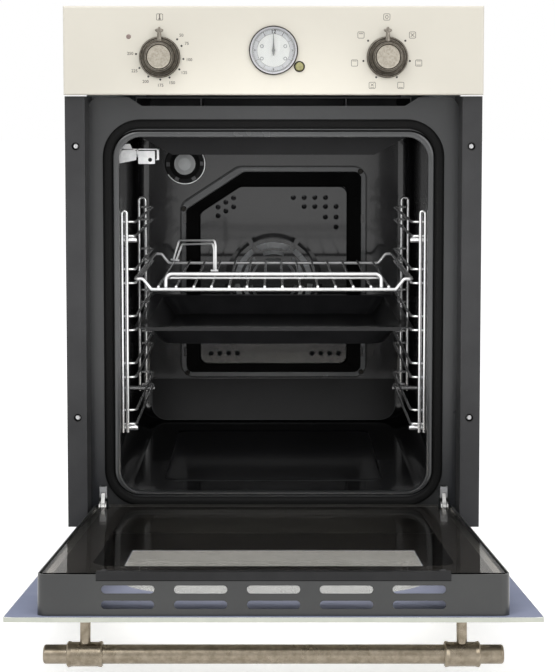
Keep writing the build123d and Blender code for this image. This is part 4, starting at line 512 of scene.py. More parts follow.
# Near-white diffuse wire: painted sheen, in place of chrome that mirrors the white surroundings
WIRE_PAINTED_SHEEN = Finish("wire_bright", (250, 250, 250), (240, 240, 241), blotch=30, metallic=0.15,
                     roughness=0.3, coat=0.6, grain=0.8, depth=0.006)
PLATE_BRIGHT = Finish("plate_bright", (246, 246, 246), (226, 226, 227), blotch=8, metallic=0.1,
                      roughness=0.35, coat=0.3, relief=Relief.BRUSHED, grain=0.5, depth=0.01)
TRAY_BLACK = Finish("tray_black_enamel", (24, 24, 25), (19, 19, 20), blotch=20, roughness=0.35,
                    spread=0.03, specular=0.2, coat=0.25, coat_roughness=0.04, grain=3.4,
                    depth=0.012)
FLOOR_BLACK = Finish("floor_black_enamel", (20, 20, 21), (27, 27, 28), blotch=40, roughness=0.3,
                     spread=0.03, coat=0.8, coat_roughness=0.1, grain=4.0, depth=0.015)
LADDER_CHROME = Finish("ladder_chrome", (250, 250, 250), (238, 238, 239), blotch=30, metallic=0.88,
                       roughness=0.16, spread=0.04, grain=0.8, depth=0.004)
LINER_GREY = Finish("liner_grey_enamel", (50, 51, 50), (44, 45, 45), blotch=70, roughness=0.32,
                    coat=0.3, coat_roughness=0.18, grain=2.0, depth=0.03)
SEAL_BLACK = Finish("seal_black_rubber", (20, 20, 20), (26, 26, 26), blotch=9, roughness=0.62,
                    specular=0.08, relief=Relief.FIBRE, grain=0.7, depth=0.05, strength=0.5)
CHROME = Finish("wire_chrome", (244, 244, 244), (230, 230, 231), blotch=30, metallic=0.72,
                roughness=0.18, spread=0.04, specular=0.8, grain=0.8, depth=0.006)
LATCH_STEEL = Finish("latch_steel", (200, 201, 202), (178, 179, 181), blotch=6, metallic=0.35,
                     roughness=0.35, spread=0.05, grain=0.6, depth=0.006)
BRIGHT_STEEL = Finish("bright_steel", (206, 207, 208), (184, 186, 188), blotch=8, metallic=1.0,
                      roughness=0.28, spread=0.06, relief=Relief.BRUSHED, grain=0.3, depth=0.01)
HINGE_STEEL = Finish("hinge_steel", (190, 190, 188), (160, 160, 158), blotch=6, metallic=1.0,
                     roughness=0.34, spread=0.08, relief=Relief.CAST, grain=0.8, depth=0.01)
ZINC = Finish("zinc_sheet", (174, 178, 182), (162, 167, 172), blotch=60, metallic=0.85,
              roughness=0.42, spread=0.05, relief=Relief.SPANGLE, grain=5.0, depth=0.008)
AGED_BRASS = Finish("aged_brass", (150, 140, 124), (125, 115, 99), blotch=7, metallic=0.92,
                    roughness=0.3, spread=0.08, relief=Relief.BRUSHED, grain=1.0, depth=0.02,
                    strength=0.4, wear=0.25, worn=(196, 183, 160))
# Lighter bronze of the pointers, also used as painted highlights on the crests of the knob rings
LIGHT_BRONZE_AND_HIGHLIGHT = Finish("light_bronze", (142, 136, 126), (102, 96, 86), blotch=3, metallic=0.7,
                      roughness=0.3, spread=0.08, relief=Relief.CAST, grain=0.9, depth=0.015)
DARK_BRONZE = Finish("dark_bronze", (84, 78, 69), (54, 49, 43), blotch=3, metallic=0.8,
                     roughness=0.34, spread=0.08, relief=Relief.CAST, grain=1.0, depth=0.02,
                     wear=0.6, worn=(160, 150, 132))
PEWTER = Finish("hammered_pewter", (182, 175, 162), (156, 149, 136), blotch=2.2, metallic=0.7,
                roughness=0.4, spread=0.08, relief=Relief.CAST, grain=1.2, depth=0.03, strength=0.6)
OLIVE_BRASS = Finish("olive_brass", (174, 170, 122), (148, 144, 104), blotch=3, metallic=0.6,
                     roughness=0.35, relief=Relief.CAST, grain=0.9, depth=0.02)
BEZEL_DARK = Finish("bezel_dark", (50, 44, 38), (36, 32, 28), blotch=4, metallic=0.6,
                    roughness=0.35, relief=Relief.CAST, grain=0.8, depth=0.01)
SLOPE_GREY = Finish("slope_grey", (204, 204, 207), (196, 196, 200), blotch=10, roughness=0.5,
                    grain=0.5, depth=0.004)
DIAL_WHITE = Finish("dial_white", (252, 252, 250), (248, 248, 246), blotch=12, roughness=0.5,
                    grain=0.5, depth=0.004)
CHAPTER_GREY = Finish("chapter_grey", (226, 226, 229), (220, 220, 224), blotch=10, roughness=0.5,
                      grain=0.5, depth=0.004)
PRINT_PALE = Finish("print_pale", (182, 182, 184), (170, 170, 172), blotch=4, roughness=0.55,
                    grain=0.4, depth=0.004)
HAND_GREY = Finish("hand_grey", (150, 150, 150), (130, 130, 130), blotch=4, metallic=0.3,
                   roughness=0.4, relief=Relief.BRUSHED, grain=0.2, depth=0.004)
HEATER_SHEATH = Finish("heater_sheath", (72, 70, 66), (48, 46, 44), blotch=14, metallic=0.8,
                       roughness=0.45, spread=0.1, relief=Relief.CAST, grain=0.8, depth=0.02)
ALUMINIUM = Finish("aluminium", (196, 198, 200), (176, 178, 180), blotch=12, metallic=1.0,
                   roughness=0.32, spread=0.06, relief=Relief.BRUSHED, grain=0.25, depth=0.008)
BLACK_PLASTIC = Finish("black_plastic", (24, 24, 25), (32, 32, 33), blotch=8, roughness=0.5,
                       relief=Relief.CAST, grain=0.5, depth=0.02)
WOOL = Finish("mineral_wool", (196, 182, 140), (150, 134, 96), roughness=0.95, spread=0.0,
              relief=Relief.FIBRE, grain=3.0, depth=1.2, strength=0.9)
# Bluish grey print on the back of the outer pane; its light tone is partly a painted reflection of
# the white surroundings, with little gloss of its own
GLASS_BACK_PRINT_AND_REFLECTION = Finish("glass_back_print", (148, 154, 177), (140, 147, 171), blotch=80, roughness=0.7,
                    specular=0.12, grain=2.0, depth=0.01)
GLASS_FACE = Finish("glass_face_print", (231, 226, 212), (228, 223, 209), blotch=90, roughness=0.4,
                    grain=1.6, depth=0.006)
GLASS_BORDER = Finish("inner_glass_print", (20, 20, 21), (24, 24, 25), blotch=60, roughness=0.6,
                      specular=0.1, grain=1.2, depth=0.006)
EDGE_PALE = Finish("glass_edge_pale", (206, 208, 196), (196, 200, 188), blotch=20, roughness=0.35,
                   coat=0.2, grain=1.0, depth=0.01)
RED_LENS = Finish("red_lens", (150, 132, 124), (132, 112, 104), blotch=2, roughness=0.2, coat=0.6,
                  grain=0.6, depth=0.01)
CLEAR_GLASS = GlassFinish("clear_glass", (252, 253, 252))
INNER_GLASS = GlassFinish("inner_clear_glass", (252, 248, 242), ior=1.04)
LAMP_GLASS = GlassFinish("lamp_glass", (112, 114, 113), roughness=0.08, spread=0.02)


# -------- making meshes

DOOR_TURN = (Matrix.Translation((0, PIVOT_DEPTH, PIVOT_HEIGHT))
             @ Matrix.Rotation(math.radians(DOOR_OPEN_ANGLE), 4, "X")
             @ Matrix.Translation((0, -PIVOT_DEPTH, -PIVOT_HEIGHT)))
TO_MODEL = Matrix.Scale(MM, 4) @ Matrix.Translation((0, -ORIGIN_DEPTH, 0))
UPRIGHT_TEXT = Matrix.Rotation(math.radians(90), 4, "X")
# Thickness of a print, and the least distance between two points of a mesh
PRINT_SHEET = 0.08
MERGE = 1e-4
# Steps round an edge that shows large
FINE = 96


def on_circle(centre: Flat, radius: float, degrees: float) -> Flat:
    """Point on a circle, with the angle clockwise from the top."""
    turn = math.radians(degrees)
    return centre[0] + radius * math.sin(turn), centre[1] + radius * math.cos(turn)


def circle(centre: Flat, radius: float, step: int = 4) -> list[Flat]:
    """Points all round a circle, a step of some degrees apart."""
    return [on_circle(centre, radius, degrees) for degrees in range(0, 360, step)]


def turns(count: int) -> list[float]:
    """Angles of equal steps of one whole turn, in radians."""
    return [2 * math.pi * i / count for i in range(count)]


def rounded(corners: Sequence[Flat], radius: float, steps: int = 8) -> list[Flat]:
    """Outline of a polygon with round corners.

    Args:
        corners: Its corners in order.
        radius: Radius of every corner.
        steps: Steps in each round.

    Returns:
        The points of the outline, as many for every polygon of the same count of corners.
    """
    line = []
    for i, corner in enumerate(corners):
        here = Vector(corner)
        back = (Vector(corners[i - 1]) - here).normalized()
        ahead = (Vector(corners[(i + 1) % len(corners)]) - here).normalized()
        half = back.angle(ahead) / 2
        centre = here + (back + ahead).normalized() * radius / math.sin(half)
        arm = here + back * radius / math.tan(half) - centre
        sweep = math.pi - 2 * half
        side = 1 if back.x * ahead.y - back.y * ahead.x < 0 else -1
        for step in range(steps + 1):
            turn = side * sweep * step / steps
            line.append((centre.x + arm.x * math.cos(turn) - arm.y * math.sin(turn),
                         centre.y + arm.x * math.sin(turn) + arm.y * math.cos(turn)))
    return line


def rectangle(left: float, right: float, low: float, high: float) -> list[Flat]:
    """Corners of a rectangle."""
    return [(right, high), (left, high), (left, low), (right, low)]


def ray_point(outline: Sequence[Flat], centre: Flat, degrees: float) -> Flat:
    """Farthest crossing of an outline by a ray from a centre.

    Args:
        outline: Closed outline.
        centre: Start of the ray.
        degrees: Direction, anticlockwise from x.

    Returns:
        The crossing point.
    """
    dx, dz = math.cos(math.radians(degrees)), math.sin(math.radians(degrees))
    best = 0.0
    for (x0, z0), (x1, z1) in zip(outline, list(outline[1:]) + [outline[0]]):
        ex, ez = x1 - x0, z1 - z0
        cross = dx * ez - dz * ex
        if abs(cross) < 1e-9:
            continue
        px, pz = x0 - centre[0], z0 - centre[1]
        along = (px * ez - pz * ex) / cross
        part = (px * dz - pz * dx) / cross
        if along > best and -1e-6 <= part <= 1 + 1e-6:
            best = along
    return centre[0] + best * dx, centre[1] + best * dz


class Shape:
    """Collects closed surfaces in millimetres: x to the right, depth back, z up."""

    def __init__(self) -> None:
        """Start empty."""
        self.bm = bmesh.new()

    def loft(self, rings: Sequence[Sequence[Point]], closed: bool = False) -> None:
        """Skin rings of equal length.

        Args:
            rings: The rings in order.
            closed: Whether the last is joined to the first, instead of closing both ends.
        """
        made = [[self.bm.verts.new(point) for point in ring] for ring in rings]
        count = len(made[0])
        pairs = list(zip(made, made[1:])) + ([(made[-1], made[0])] if closed else [])
        for one, other in pairs:
            for i in range(count):
                j = (i + 1) % count
                self.bm.faces.new((one[i], one[j], other[j], other[i]))
        if not closed:
            self.bm.faces.new(made[0][::-1])
            self.bm.faces.new(made[-1])

    def prism(self, outline: Sequence[Flat], near: float, far: float) -> None:
        """Extrude an outline in x and z between two depths."""
        self.loft([[(x, depth, z) for x, z in outline] for depth in (near, far)])

    def ring(self, section: Sequence[tuple[Sequence[Flat], float]]) -> None:
        """Sweep a section of outlines, each at its own depth, into a closed ring."""
        self.loft([[(x, depth, z) for x, z in line] for line, depth in section], closed=True)

    def band(self, outer: Sequence[Flat], inner: Sequence[Flat], near: float,
             far: float) -> None:
        """Extrude the ring between two outlines of equal length."""
        self.ring([(outer, near), (outer, far), (inner, far), (inner, near)])

    def pierced(self, outline: Sequence[Flat], hole: Flat, radius: float, near: float,
                far: float) -> None:
        """Add a flat plate with one round hole.

        Args:
            outline: Outer edge of the plate.
            hole: Centre of the hole.
            radius: Radius of the hole.
            near: Depth of the near face.
            far: Depth of the far face.
        """
        aims = {math.degrees(math.atan2(z - hole[1], x - hole[0])) % 360 for x, z in outline}
        aims |= {float(aim) for aim in range(0, 360, 9)
                 if all(abs(aim - other) > 2 for other in aims)}
        order = sorted(aims)
        self.band([ray_point(outline, hole, aim) for aim in order],
                  [(hole[0] + radius * math.cos(math.radians(aim)),
                    hole[1] + radius * math.sin(math.radians(aim))) for aim in order], near, far)

    def turned(self, profile: Sequence[Flat], x: float, z: float, segments: int = 72) -> None:
        """Revolve a profile about an axis that runs back.

        Args:
            profile: Radius and depth of its points.
            x: Place of the axis.
            z: Height of the axis.
            segments: Steps all round.
        """
        rings = [[self.bm.verts.new((x + radius * math.cos(t), depth, z + radius * math.sin(t)))
                  for t in (turns(segments) if radius else (0.0,))] for radius, depth in profile]
        ends = list(zip(rings, rings[1:]))
        if len(rings[0]) > 1 or len(rings[-1]) > 1:
            ends.append((rings[-1], rings[0]))
        for one, other in ends:
            for i in range(segments):
                j = (i + 1) % segments
                face = list(dict.fromkeys((one[i % len(one)], one[j % len(one)],
                                           other[j % len(other)], other[i % len(other)])))
                if len(face) > 2:
                    self.bm.faces.new(face)

    def stroke(self, points: Sequence[Flat], width: float, near: float, far: float) -> None:
        """Draw a line of flat bars.

        Args:
            points: The points that the line goes through.
            width: Its width.
            near: Depth of its near face.
            far: Depth of its far face.
        """
        for (x0, z0), (x1, z1) in zip(points, points[1:]):
            length = math.hypot(x1 - x0, z1 - z0)
            ax, az = (x1 - x0) / length * width / 2, (z1 - z0) / length * width / 2
            self.prism([(x0 - ax - az, z0 - az + ax), (x0 - ax + az, z0 - az - ax),
                        (x1 + ax + az, z1 + az - ax), (x1 + ax - az, z1 + az + ax)], near, far)

    def text(self, words: str, place: Flat, size: float, near: float, weight: float) -> None:
        """Set printed figures that face forward.

        Args:
            words: What they say.
            place: Their centre.
            size: Their height as type.
            near: Depth of their near face.
            weight: How much the lines are thickened.
        """
        curve = bpy.data.curves.new(words, "FONT")
        curve.body = words
        curve.size = size
        curve.align_x = "CENTER"
        curve.align_y = "CENTER"
        curve.extrude = PRINT_SHEET / 2
        curve.offset = weight
        curve.resolution_u = 3
        holder = bpy.data.objects.new(words, curve)
        mesh = bpy.data.meshes.new_from_object(holder)
        centre = Matrix.Translation((place[0], near + PRINT_SHEET / 2, place[1]))
        mesh.transform(centre @ UPRIGHT_TEXT)
        self.bm.from_mesh(mesh)
        bpy.data.objects.remove(holder)
        bpy.data.curves.remove(curve)
        bpy.data.meshes.remove(mesh)

    def mesh(self, name: str, smooth: float, turn: Matrix = TO_MODEL) -> Mesh:
        """Turn what was collected into a mesh in the model.

        Args:
            name: Name of the mesh.
            smooth: Edges sharper than this many degrees stay sharp.
            turn: Takes it from its own millimetres into the model.

        Returns:
            The mesh, with its doubles merged and its faces turned outwards.
        """
        bmesh.ops.remove_doubles(self.bm, verts=self.bm.verts, dist=MERGE)
        bmesh.ops.recalc_face_normals(self.bm, faces=self.bm.faces)
        for face in self.bm.faces:
            face.smooth = True
        for edge in self.bm.edges:
            edge.smooth = edge.is_manifold and edge.calc_face_angle(0.0) < math.radians(smooth)
        mesh = bpy.data.meshes.new(name)
        self.bm.to_mesh(mesh)
        self.bm.free()
        mesh.transform(turn)
        return mesh

    def piece(self, name: str, finish: Surface, slot: str, body: Body = Body.OVEN,
              smooth: float = 35.0) -> Item:
        """Turn what was collected into a piece; one of the door was drawn on it closed.

        Args:
            name: Name of the piece.
            finish: Its finish.
            slot: Not used.
            body: The body it rides on.
            smooth: Edges sharper than this many degrees stay sharp.

        Returns:
            The new object.
        """
        turn = TO_MODEL @ DOOR_TURN if body is Body.DOOR else TO_MODEL
        return adopt(name, self.mesh(name, smooth, turn), finish, body)


def adopt(name: str, mesh: Mesh, finish: Surface,
          body: Body) -> Item:
    """Make a mesh a piece with a finish, riding on a body.

    Args:
        name: Name of the piece.
        mesh: Its mesh.
        finish: Its finish, where the mesh has none yet.
        body: The body it rides on.

    Returns:
        The new object.
    """
    piece = bpy.data.objects.new(name, mesh)
    bpy.context.scene.collection.objects.link(piece)
    if not mesh.materials:
        mesh.materials.append(finish.material())
    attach(piece, body.value)
    LOG.info("piece %s on %s, %d faces", name, body.value, len(mesh.polygons))
    return piece


def dress(finish: Surface, *nodes: str) -> None:
    """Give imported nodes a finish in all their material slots.

    Args:
        finish: The finish.
        nodes: Names of the nodes.
    """
    for node in nodes:
        for slot in frame["nodes"][node].material_slots:
            slot.material = finish.material()
        LOG.info("node %s dressed in %s", node, finish.name)


# -------- geometry node recipes


class Recipe:
    """A geometry node tree with named inputs, made into a plain mesh for each use."""

    # Inputs that are angles in radians
    ANGLES = ("Start",)

    def __init__(self, name: str, sizes: dict[str, float]) -> None:
        """Start the tree.

        Args:
            name: Name of the tree.
            sizes: Starting value by input name.
        """
        self.tree = bpy.data.node_groups.new(name, "GeometryNodeTree")
        face = self.tree.interface
        for way in ("OUTPUT", "INPUT"):
            face.new_socket("Geometry", in_out=way, socket_type="NodeSocketGeometry")
        self.keys = {}
        for label, value in sizes.items():
            kind = "NodeSocketInt" if isinstance(value, int) else "NodeSocketFloat"
            socket = face.new_socket(label, in_out="INPUT", socket_type=kind)
            socket.default_value = value
            self.keys[label] = socket.identifier
        self.keys["Finish"] = face.new_socket("Finish", in_out="INPUT",
                                              socket_type="NodeSocketMaterial").identifier
        self.sheet = Sheet(self.tree)
        self.given = self.sheet.add("NodeGroupInput").outputs

    def block(self, x: Socket, y: Socket, z: Socket) -> Socket:
        """Add a box of three sizes and return its geometry."""
        size = self.sheet.vector(X=x, Y=y, Z=z)
        return self.sheet.add("GeometryNodeMeshCube", {"Size": size}).outputs[0]

    def moved(self, geometry: Socket, rise: Socket, turn: float = 0.0) -> Socket:
        """Turn geometry about z, raise it along z and return it."""
        return self.sheet.add("GeometryNodeTransform",
                              {"Geometry": geometry, "Translation": self.sheet.vector(Z=rise),
                               "Rotation": (0.0, 0.0, turn)}).outputs[0]

    def set_out(self, points: Socket, instance: Socket, turn: object = (0.0, 0.0, 0.0)) -> Socket:
        """Set out instances on points, turned, and return them."""
        return self.sheet.add("GeometryNodeInstanceOnPoints",
                              {"Points": points, "Instance": instance,
                               "Rotation": turn}).outputs[0]

    def close(self, geometry: Socket, smooth: bool = False) -> "Recipe":
        """Realize the instances, set the finish and end the tree.

        Args:
            geometry: What the tree made.
            smooth: Whether it is shaded smooth.

        Returns:
            The recipe itself.
        """
        real = self.sheet.add("GeometryNodeRealizeInstances", {"Geometry": geometry})
        shaded = self.sheet.add("GeometryNodeSetShadeSmooth",
                                {"Geometry": real.outputs[0], "Shade Smooth": smooth})
        dressed = self.sheet.add("GeometryNodeSetMaterial",
                                 {"Geometry": shaded.outputs[0],
                                  "Material": self.given["Finish"]})
        self.sheet.add("NodeGroupOutput", {"Geometry": dressed.outputs[0]})
        return self

    def make(self, name: str, seed_mesh: Mesh, sizes: dict[str, float],
             finish: Surface, slot: str, body: Body = Body.OVEN) -> Item:
        """Run the tree on a mesh and keep the result as a piece.

        Args:
            name: Name of the piece.
            seed_mesh: Points, lines or surface that the tree works on, in metres.
            sizes: Values by input name: whole numbers, angles, or lengths in millimetres.
            finish: Finish of the piece.
            slot: Not used.
            body: The body it rides on.

        Returns:
            The new object.
        """
        holder = bpy.data.objects.new(name + "_seed", seed_mesh)
        bpy.context.scene.collection.objects.link(holder)
        modifier = holder.modifiers.new("recipe", "NODES")
        modifier.node_group = self.tree
        for label, value in sizes.items():
            plain = isinstance(value, int) or label in self.ANGLES
            modifier[self.keys[label]] = value if plain else value * MM
        modifier[self.keys["Finish"]] = finish.material()
        graph = bpy.context.evaluated_depsgraph_get()
        mesh = bpy.data.meshes.new_from_object(holder.evaluated_get(graph))
        mesh.name = name
        bpy.data.objects.remove(holder)
        bpy.data.meshes.remove(seed_mesh)
        return adopt(name, mesh, finish, body)


def seed_points(name: str, places: Iterable[Point], aim: Optional[Point] = None) -> Mesh:
    """Loose points in the model.

    Args:
        name: Name of the mesh.
        places: The points.
        aim: Direction that all of them face, kept as attribute aim.

    Returns:
        The mesh.
    """
    mesh = bpy.data.meshes.new(name)
    mesh.from_pydata([Vector(place) for place in places], [], [])
    mesh.transform(TO_MODEL)
    if aim:
        for item in mesh.attributes.new("aim", "FLOAT_VECTOR", "POINT").data:
            item.vector = aim
    return mesh


def seed_lines(name: str, lines: Iterable[Sequence[Point]]) -> Mesh:
    """Paths of straight runs in the model.

    Args:
        name: Name of the mesh.
        lines: The points of each path; one that ends on its start is closed.

    Returns:
        The mesh.
    """
    points: list[Vector] = []
    edges: list[tuple[int, int]] = []
    for line in lines:
        start = len(points)
        closed = line[0] == line[-1]
        path = line[:-1] if closed else line
        points += [Vector(point) for point in path]
        edges += [(start + i, start + i + 1) for i in range(len(path) - 1)]
        if closed:
            edges.append((start + len(path) - 1, start))
    mesh = bpy.data.meshes.new(name)
    mesh.from_pydata(points, edges, [])
    mesh.transform(TO_MODEL)
    return mesh


class Recipes:
    """The trees for what repeats on the oven. Their starting sizes are in metres."""

    def __init__(self) -> None:
        """Build every tree."""
        self.dots = self.build_dots()
        self.bars = self.build_bars()
        self.screws = self.build_screws()
        self.dents = self.build_dents()
        self.wires = self.build_wires()

    def build_dots(self) -> Recipe:
        """Flat round marks at points.

        Returns:
            The recipe.
        """
        recipe = Recipe("Dots", {"Radius": 0.001, "Thickness": 0.0001})
        given = recipe.given
        disc = recipe.sheet.add("GeometryNodeMeshCylinder",
                                {"Vertices": 20, "Radius": given["Radius"],
                                 "Depth": given["Thickness"]}).outputs[0]
        upright = (math.pi / 2, 0.0, 0.0)
        return recipe.close(recipe.set_out(given["Geometry"], disc, upright))

    def build_bars(self) -> Recipe:
        """Bars evenly round each point, such as minute marks or the lugs of a bayonet cover.

        Returns:
            The recipe.
        """
        recipe = Recipe("Bars", {"Count": 60, "Radius": 0.02, "Length": 0.001, "Width": 0.0002,
                                 "Thickness": 0.0001, "Start": 0.0})
        sheet, given = recipe.sheet, recipe.given
        bar = recipe.moved(recipe.block(given["Width"], given["Thickness"], given["Length"]),
                           given["Radius"])
        line = sheet.add("GeometryNodeMeshLine", {"Count": given["Count"],
                                                  "Offset": (0.0, 0.0, 0.0)})
        index = sheet.add("GeometryNodeInputIndex").outputs[0]
        step = sheet.maths("MULTIPLY", sheet.maths("DIVIDE", index, given["Count"]), 2 * math.pi)
        turn = sheet.vector(Y=sheet.maths("ADD", step, given["Start"]))
        ring = recipe.set_out(line.outputs[0], bar, turn)
        return recipe.close(recipe.set_out(given["Geometry"], ring))

    def build_screws(self) -> Recipe:
        """Pan head screws with a cross recess, facing along attribute aim.

        Returns:
            The recipe.
        """
        recipe = Recipe("Pan head screws", {"Head Radius": 0.0035, "Head Height": 0.002,
                                            "Recess": 0.0009})
        sheet, given = recipe.sheet, recipe.given
        radius, height = given["Head Radius"], given["Head Height"]
        low = sheet.maths("MULTIPLY", height, 0.45)
        rim = sheet.add("GeometryNodeMeshCylinder", {"Vertices": 28, "Radius": radius,
                                                     "Depth": low})
        dome = sheet.add("GeometryNodeMeshCone",
                         {"Vertices": 28, "Radius Top": sheet.maths("MULTIPLY", radius, 0.72),
                          "Radius Bottom": radius, "Depth": sheet.maths("SUBTRACT", height, low)})
        head = sheet.add("GeometryNodeMeshBoolean", operation="UNION")
        sheet.link(recipe.moved(dome.outputs[0], low), head.inputs["Mesh 2"])
        sheet.link(recipe.moved(rim.outputs[0], sheet.maths("MULTIPLY", low, 0.5)),
                   head.inputs["Mesh 2"])
        bar = recipe.block(sheet.maths("MULTIPLY", radius, 1.1), given["Recess"], height)
        cut = sheet.add("GeometryNodeMeshBoolean", {"Mesh 1": head.outputs[0]},
                        operation="DIFFERENCE")
        for turn in (0.0, math.pi / 2):
            sheet.link(recipe.moved(bar, height, turn), cut.inputs["Mesh 2"])
        aim = sheet.add("GeometryNodeInputNamedAttribute", {"Name": "aim"},
                        data_type="FLOAT_VECTOR")
        turned = sheet.add("FunctionNodeAlignRotationToVector",
                           {"Vector": aim.outputs["Attribute"]}, axis="Z")
        return recipe.close(recipe.set_out(given["Geometry"], cut.outputs[0], turned.outputs[0]))

    def build_dents(self) -> Recipe:
        """Hammer marks pressed into a surface along its normals.

        Returns:
            The recipe.
        """
        recipe = Recipe("Hammer marks", {"Dent Size": 0.002, "Dent Depth": 0.0003, "Seed": 3})
        sheet, given = recipe.sheet, recipe.given
        place = sheet.add("GeometryNodeInputPosition").outputs[0]
        scale = sheet.maths("DIVIDE", 1.0, given["Dent Size"])
        marks = sheet.add("ShaderNodeTexVoronoi", {"Vector": place, "Scale": scale},
                          feature="SMOOTH_F1", voronoi_dimensions="4D")
        sheet.link(given["Seed"], marks.inputs["W"])
        deep = sheet.spread(marks.outputs["Distance"], 0.1, 0.75, 1.0, 0.0)
        inward = sheet.maths("MULTIPLY", sheet.maths("MULTIPLY", deep, given["Dent Depth"]), -1.0)
        normal = sheet.add("GeometryNodeInputNormal").outputs[0]
        push = sheet.add("ShaderNodeVectorMath", {0: normal, "Scale": inward}, operation="SCALE")
        pressed = sheet.add("GeometryNodeSetPosition", {"Geometry": given["Geometry"],
                                                        "Offset": push.outputs[0]})
        return recipe.close(pressed.outputs[0], smooth=True)

    def build_wires(self) -> Recipe:
        """Round wire bent along paths of straight runs.

        Returns:
            The recipe.
        """
        recipe = Recipe("Bent wire", {"Wire Radius": 0.0015, "Bend Radius": 0.004,
                                      "Sides": 12, "Bend Steps": 6})
        sheet, given = recipe.sheet, recipe.given
        path = sheet.add("GeometryNodeMeshToCurve", {"Mesh": given["Geometry"]})
        bent = sheet.add("GeometryNodeFilletCurve",
                         {"Curve": path.outputs[0], "Radius": given["Bend Radius"],
                          "Count": given["Bend Steps"], "Limit Radius": True}, mode="POLY")
        ring = sheet.add("GeometryNodeCurvePrimitiveCircle",
                         {"Resolution": given["Sides"], "Radius": given["Wire Radius"]})
        tube = sheet.add("GeometryNodeCurveToMesh",
                         {"Curve": bent.outputs[0], "Profile Curve": ring.outputs[0],
                          "Fill Caps": True})
        return recipe.close(tube.outputs[0], smooth=True)

    def bend(self, name: str, lines: Iterable[Sequence[Point]], radius: float, bend: float,
             sides: int, steps: int, finish: Surface, slot: str,
             body: Body = Body.OVEN) -> Item:
        """Bend wires along paths.

        Args:
            name: Name of the piece.
            lines: The points of each path.
            radius: Radius of the wire.
            bend: Radius of its bends.
            sides: Sides of its section.
            steps: Steps in each bend.
            finish: Its finish.
            slot: The record's material slot.
            body: The body it rides on.

        Returns:
            The new object.
        """
        return self.wires.make(name, seed_lines(name, lines),
                               {"Wire Radius": radius, "Bend Radius": bend, "Sides": sides,
                                "Bend Steps": steps}, finish, slot, body)

    def screw(self, name: str, places: Sequence[Point], aim: Point,
              head: tuple[float, float, float], finish: Surface, slot: str) -> None:
        """Set pan head screws on the fixed body.

        Args:
            name: Name of the piece.
            places: Where their heads sit.
            aim: Direction they face.
            head: Radius and height of their heads, and width of the recess.
            finish: Their finish.
            slot: The record's material slot.
        """
        radius, height, recess = head
        self.screws.make(name, seed_points(name, places, aim),
                         {"Head Radius": radius, "Head Height": height, "Recess": recess},
                         finish, slot)


RECIPES = Recipes()


# -------- control panel


class Symbol(Enum):
    """Generic oven symbols, as lines in a square from -1 to 1."""

    THERMOMETER = (((0.0, -0.6), (0.0, 0.7)), ((-0.18, -0.6), (0.18, -0.6)))
    LAMP_ROUND = (((-0.45, 0.0), (-0.2, 0.45), (0.2, 0.45), (0.45, 0.0), (0.2, -0.45),
                   (-0.2, -0.45), (-0.45, 0.0)),)
    FAN = (((-0.5, -0.5), (0.5, 0.5)), ((-0.5, 0.5), (0.5, -0.5)))
    FAN_LOW = (((-0.4, -0.2), (0.4, 0.5)), ((-0.4, 0.5), (0.4, -0.2)), ((-0.5, -0.6), (0.5, -0.6)))
    TOP_AND_BOTTOM = (((-0.55, 0.6), (0.55, 0.6)), ((-0.55, -0.6), (0.55, -0.6)))
    BOTTOM = (((-0.55, -0.6), (0.55, -0.6)),)
    TOP = (((-0.55, 0.6), (0.55, 0.6)),)
    GRILL = (((-0.55, 0.6), (-0.28, 0.3), (0.0, 0.6), (0.28, 0.3), (0.55, 0.6)),)


@dataclass
class DialPrint:
    """Marks printed on the panel round a knob."""

    centre: Flat
    dot_ring: float = 25.4
    dot_radius: float = 1.1
    figure_ring: float = 31.6
    figure_size: float = 4.5
    figure_weight: float = 0.05
    symbol_ring: float = 35.1
    symbol_top: float = 41.0
    symbol_half: float = 3.6
    symbol_corners: Flat = (1.4, 1.0)
    line: float = 0.5
    thick: float = 2.4
    face: float = -0.01

    def symbol(self, shape: Shape, kind: Symbol, place: Flat) -> None:
        """Draw a symbol in its rounded square.

        Args:
            shape: Collects the print.
            kind: The symbol.
            place: Its centre.
        """
        near = self.face - PRINT_SHEET
        x, z = place
        halves = (self.symbol_half, self.symbol_half - self.line)
        outer, inner = (rounded(rectangle(x - half, x + half, z - half, z + half), corner, 5)
                        for half, corner in zip(halves, self.symbol_corners))
        shape.band(outer, inner, near, self.face)
        width = self.line * (self.thick if kind is Symbol.THERMOMETER else 1.0)
        for line in kind.value:
            shape.stroke([(x + self.symbol_half * u, z + self.symbol_half * v) for u, v in line],
                         width, near, self.face)

    def dots(self, name: str, angles: Sequence[float]) -> None:
        """Print the round marks.

        Args:
            name: Name of the piece.
            angles: Where they stand round the knob, clockwise from the top.
        """
        spots = [on_circle(self.centre, self.dot_ring, angle) for angle in angles]
        places = [(x, self.face - PRINT_SHEET / 2, z) for x, z in spots]
        RECIPES.dots.make(name, seed_points(name, places),
                          {"Radius": self.dot_radius, "Thickness": PRINT_SHEET},
                          PRINT_BROWN, "control_panel")


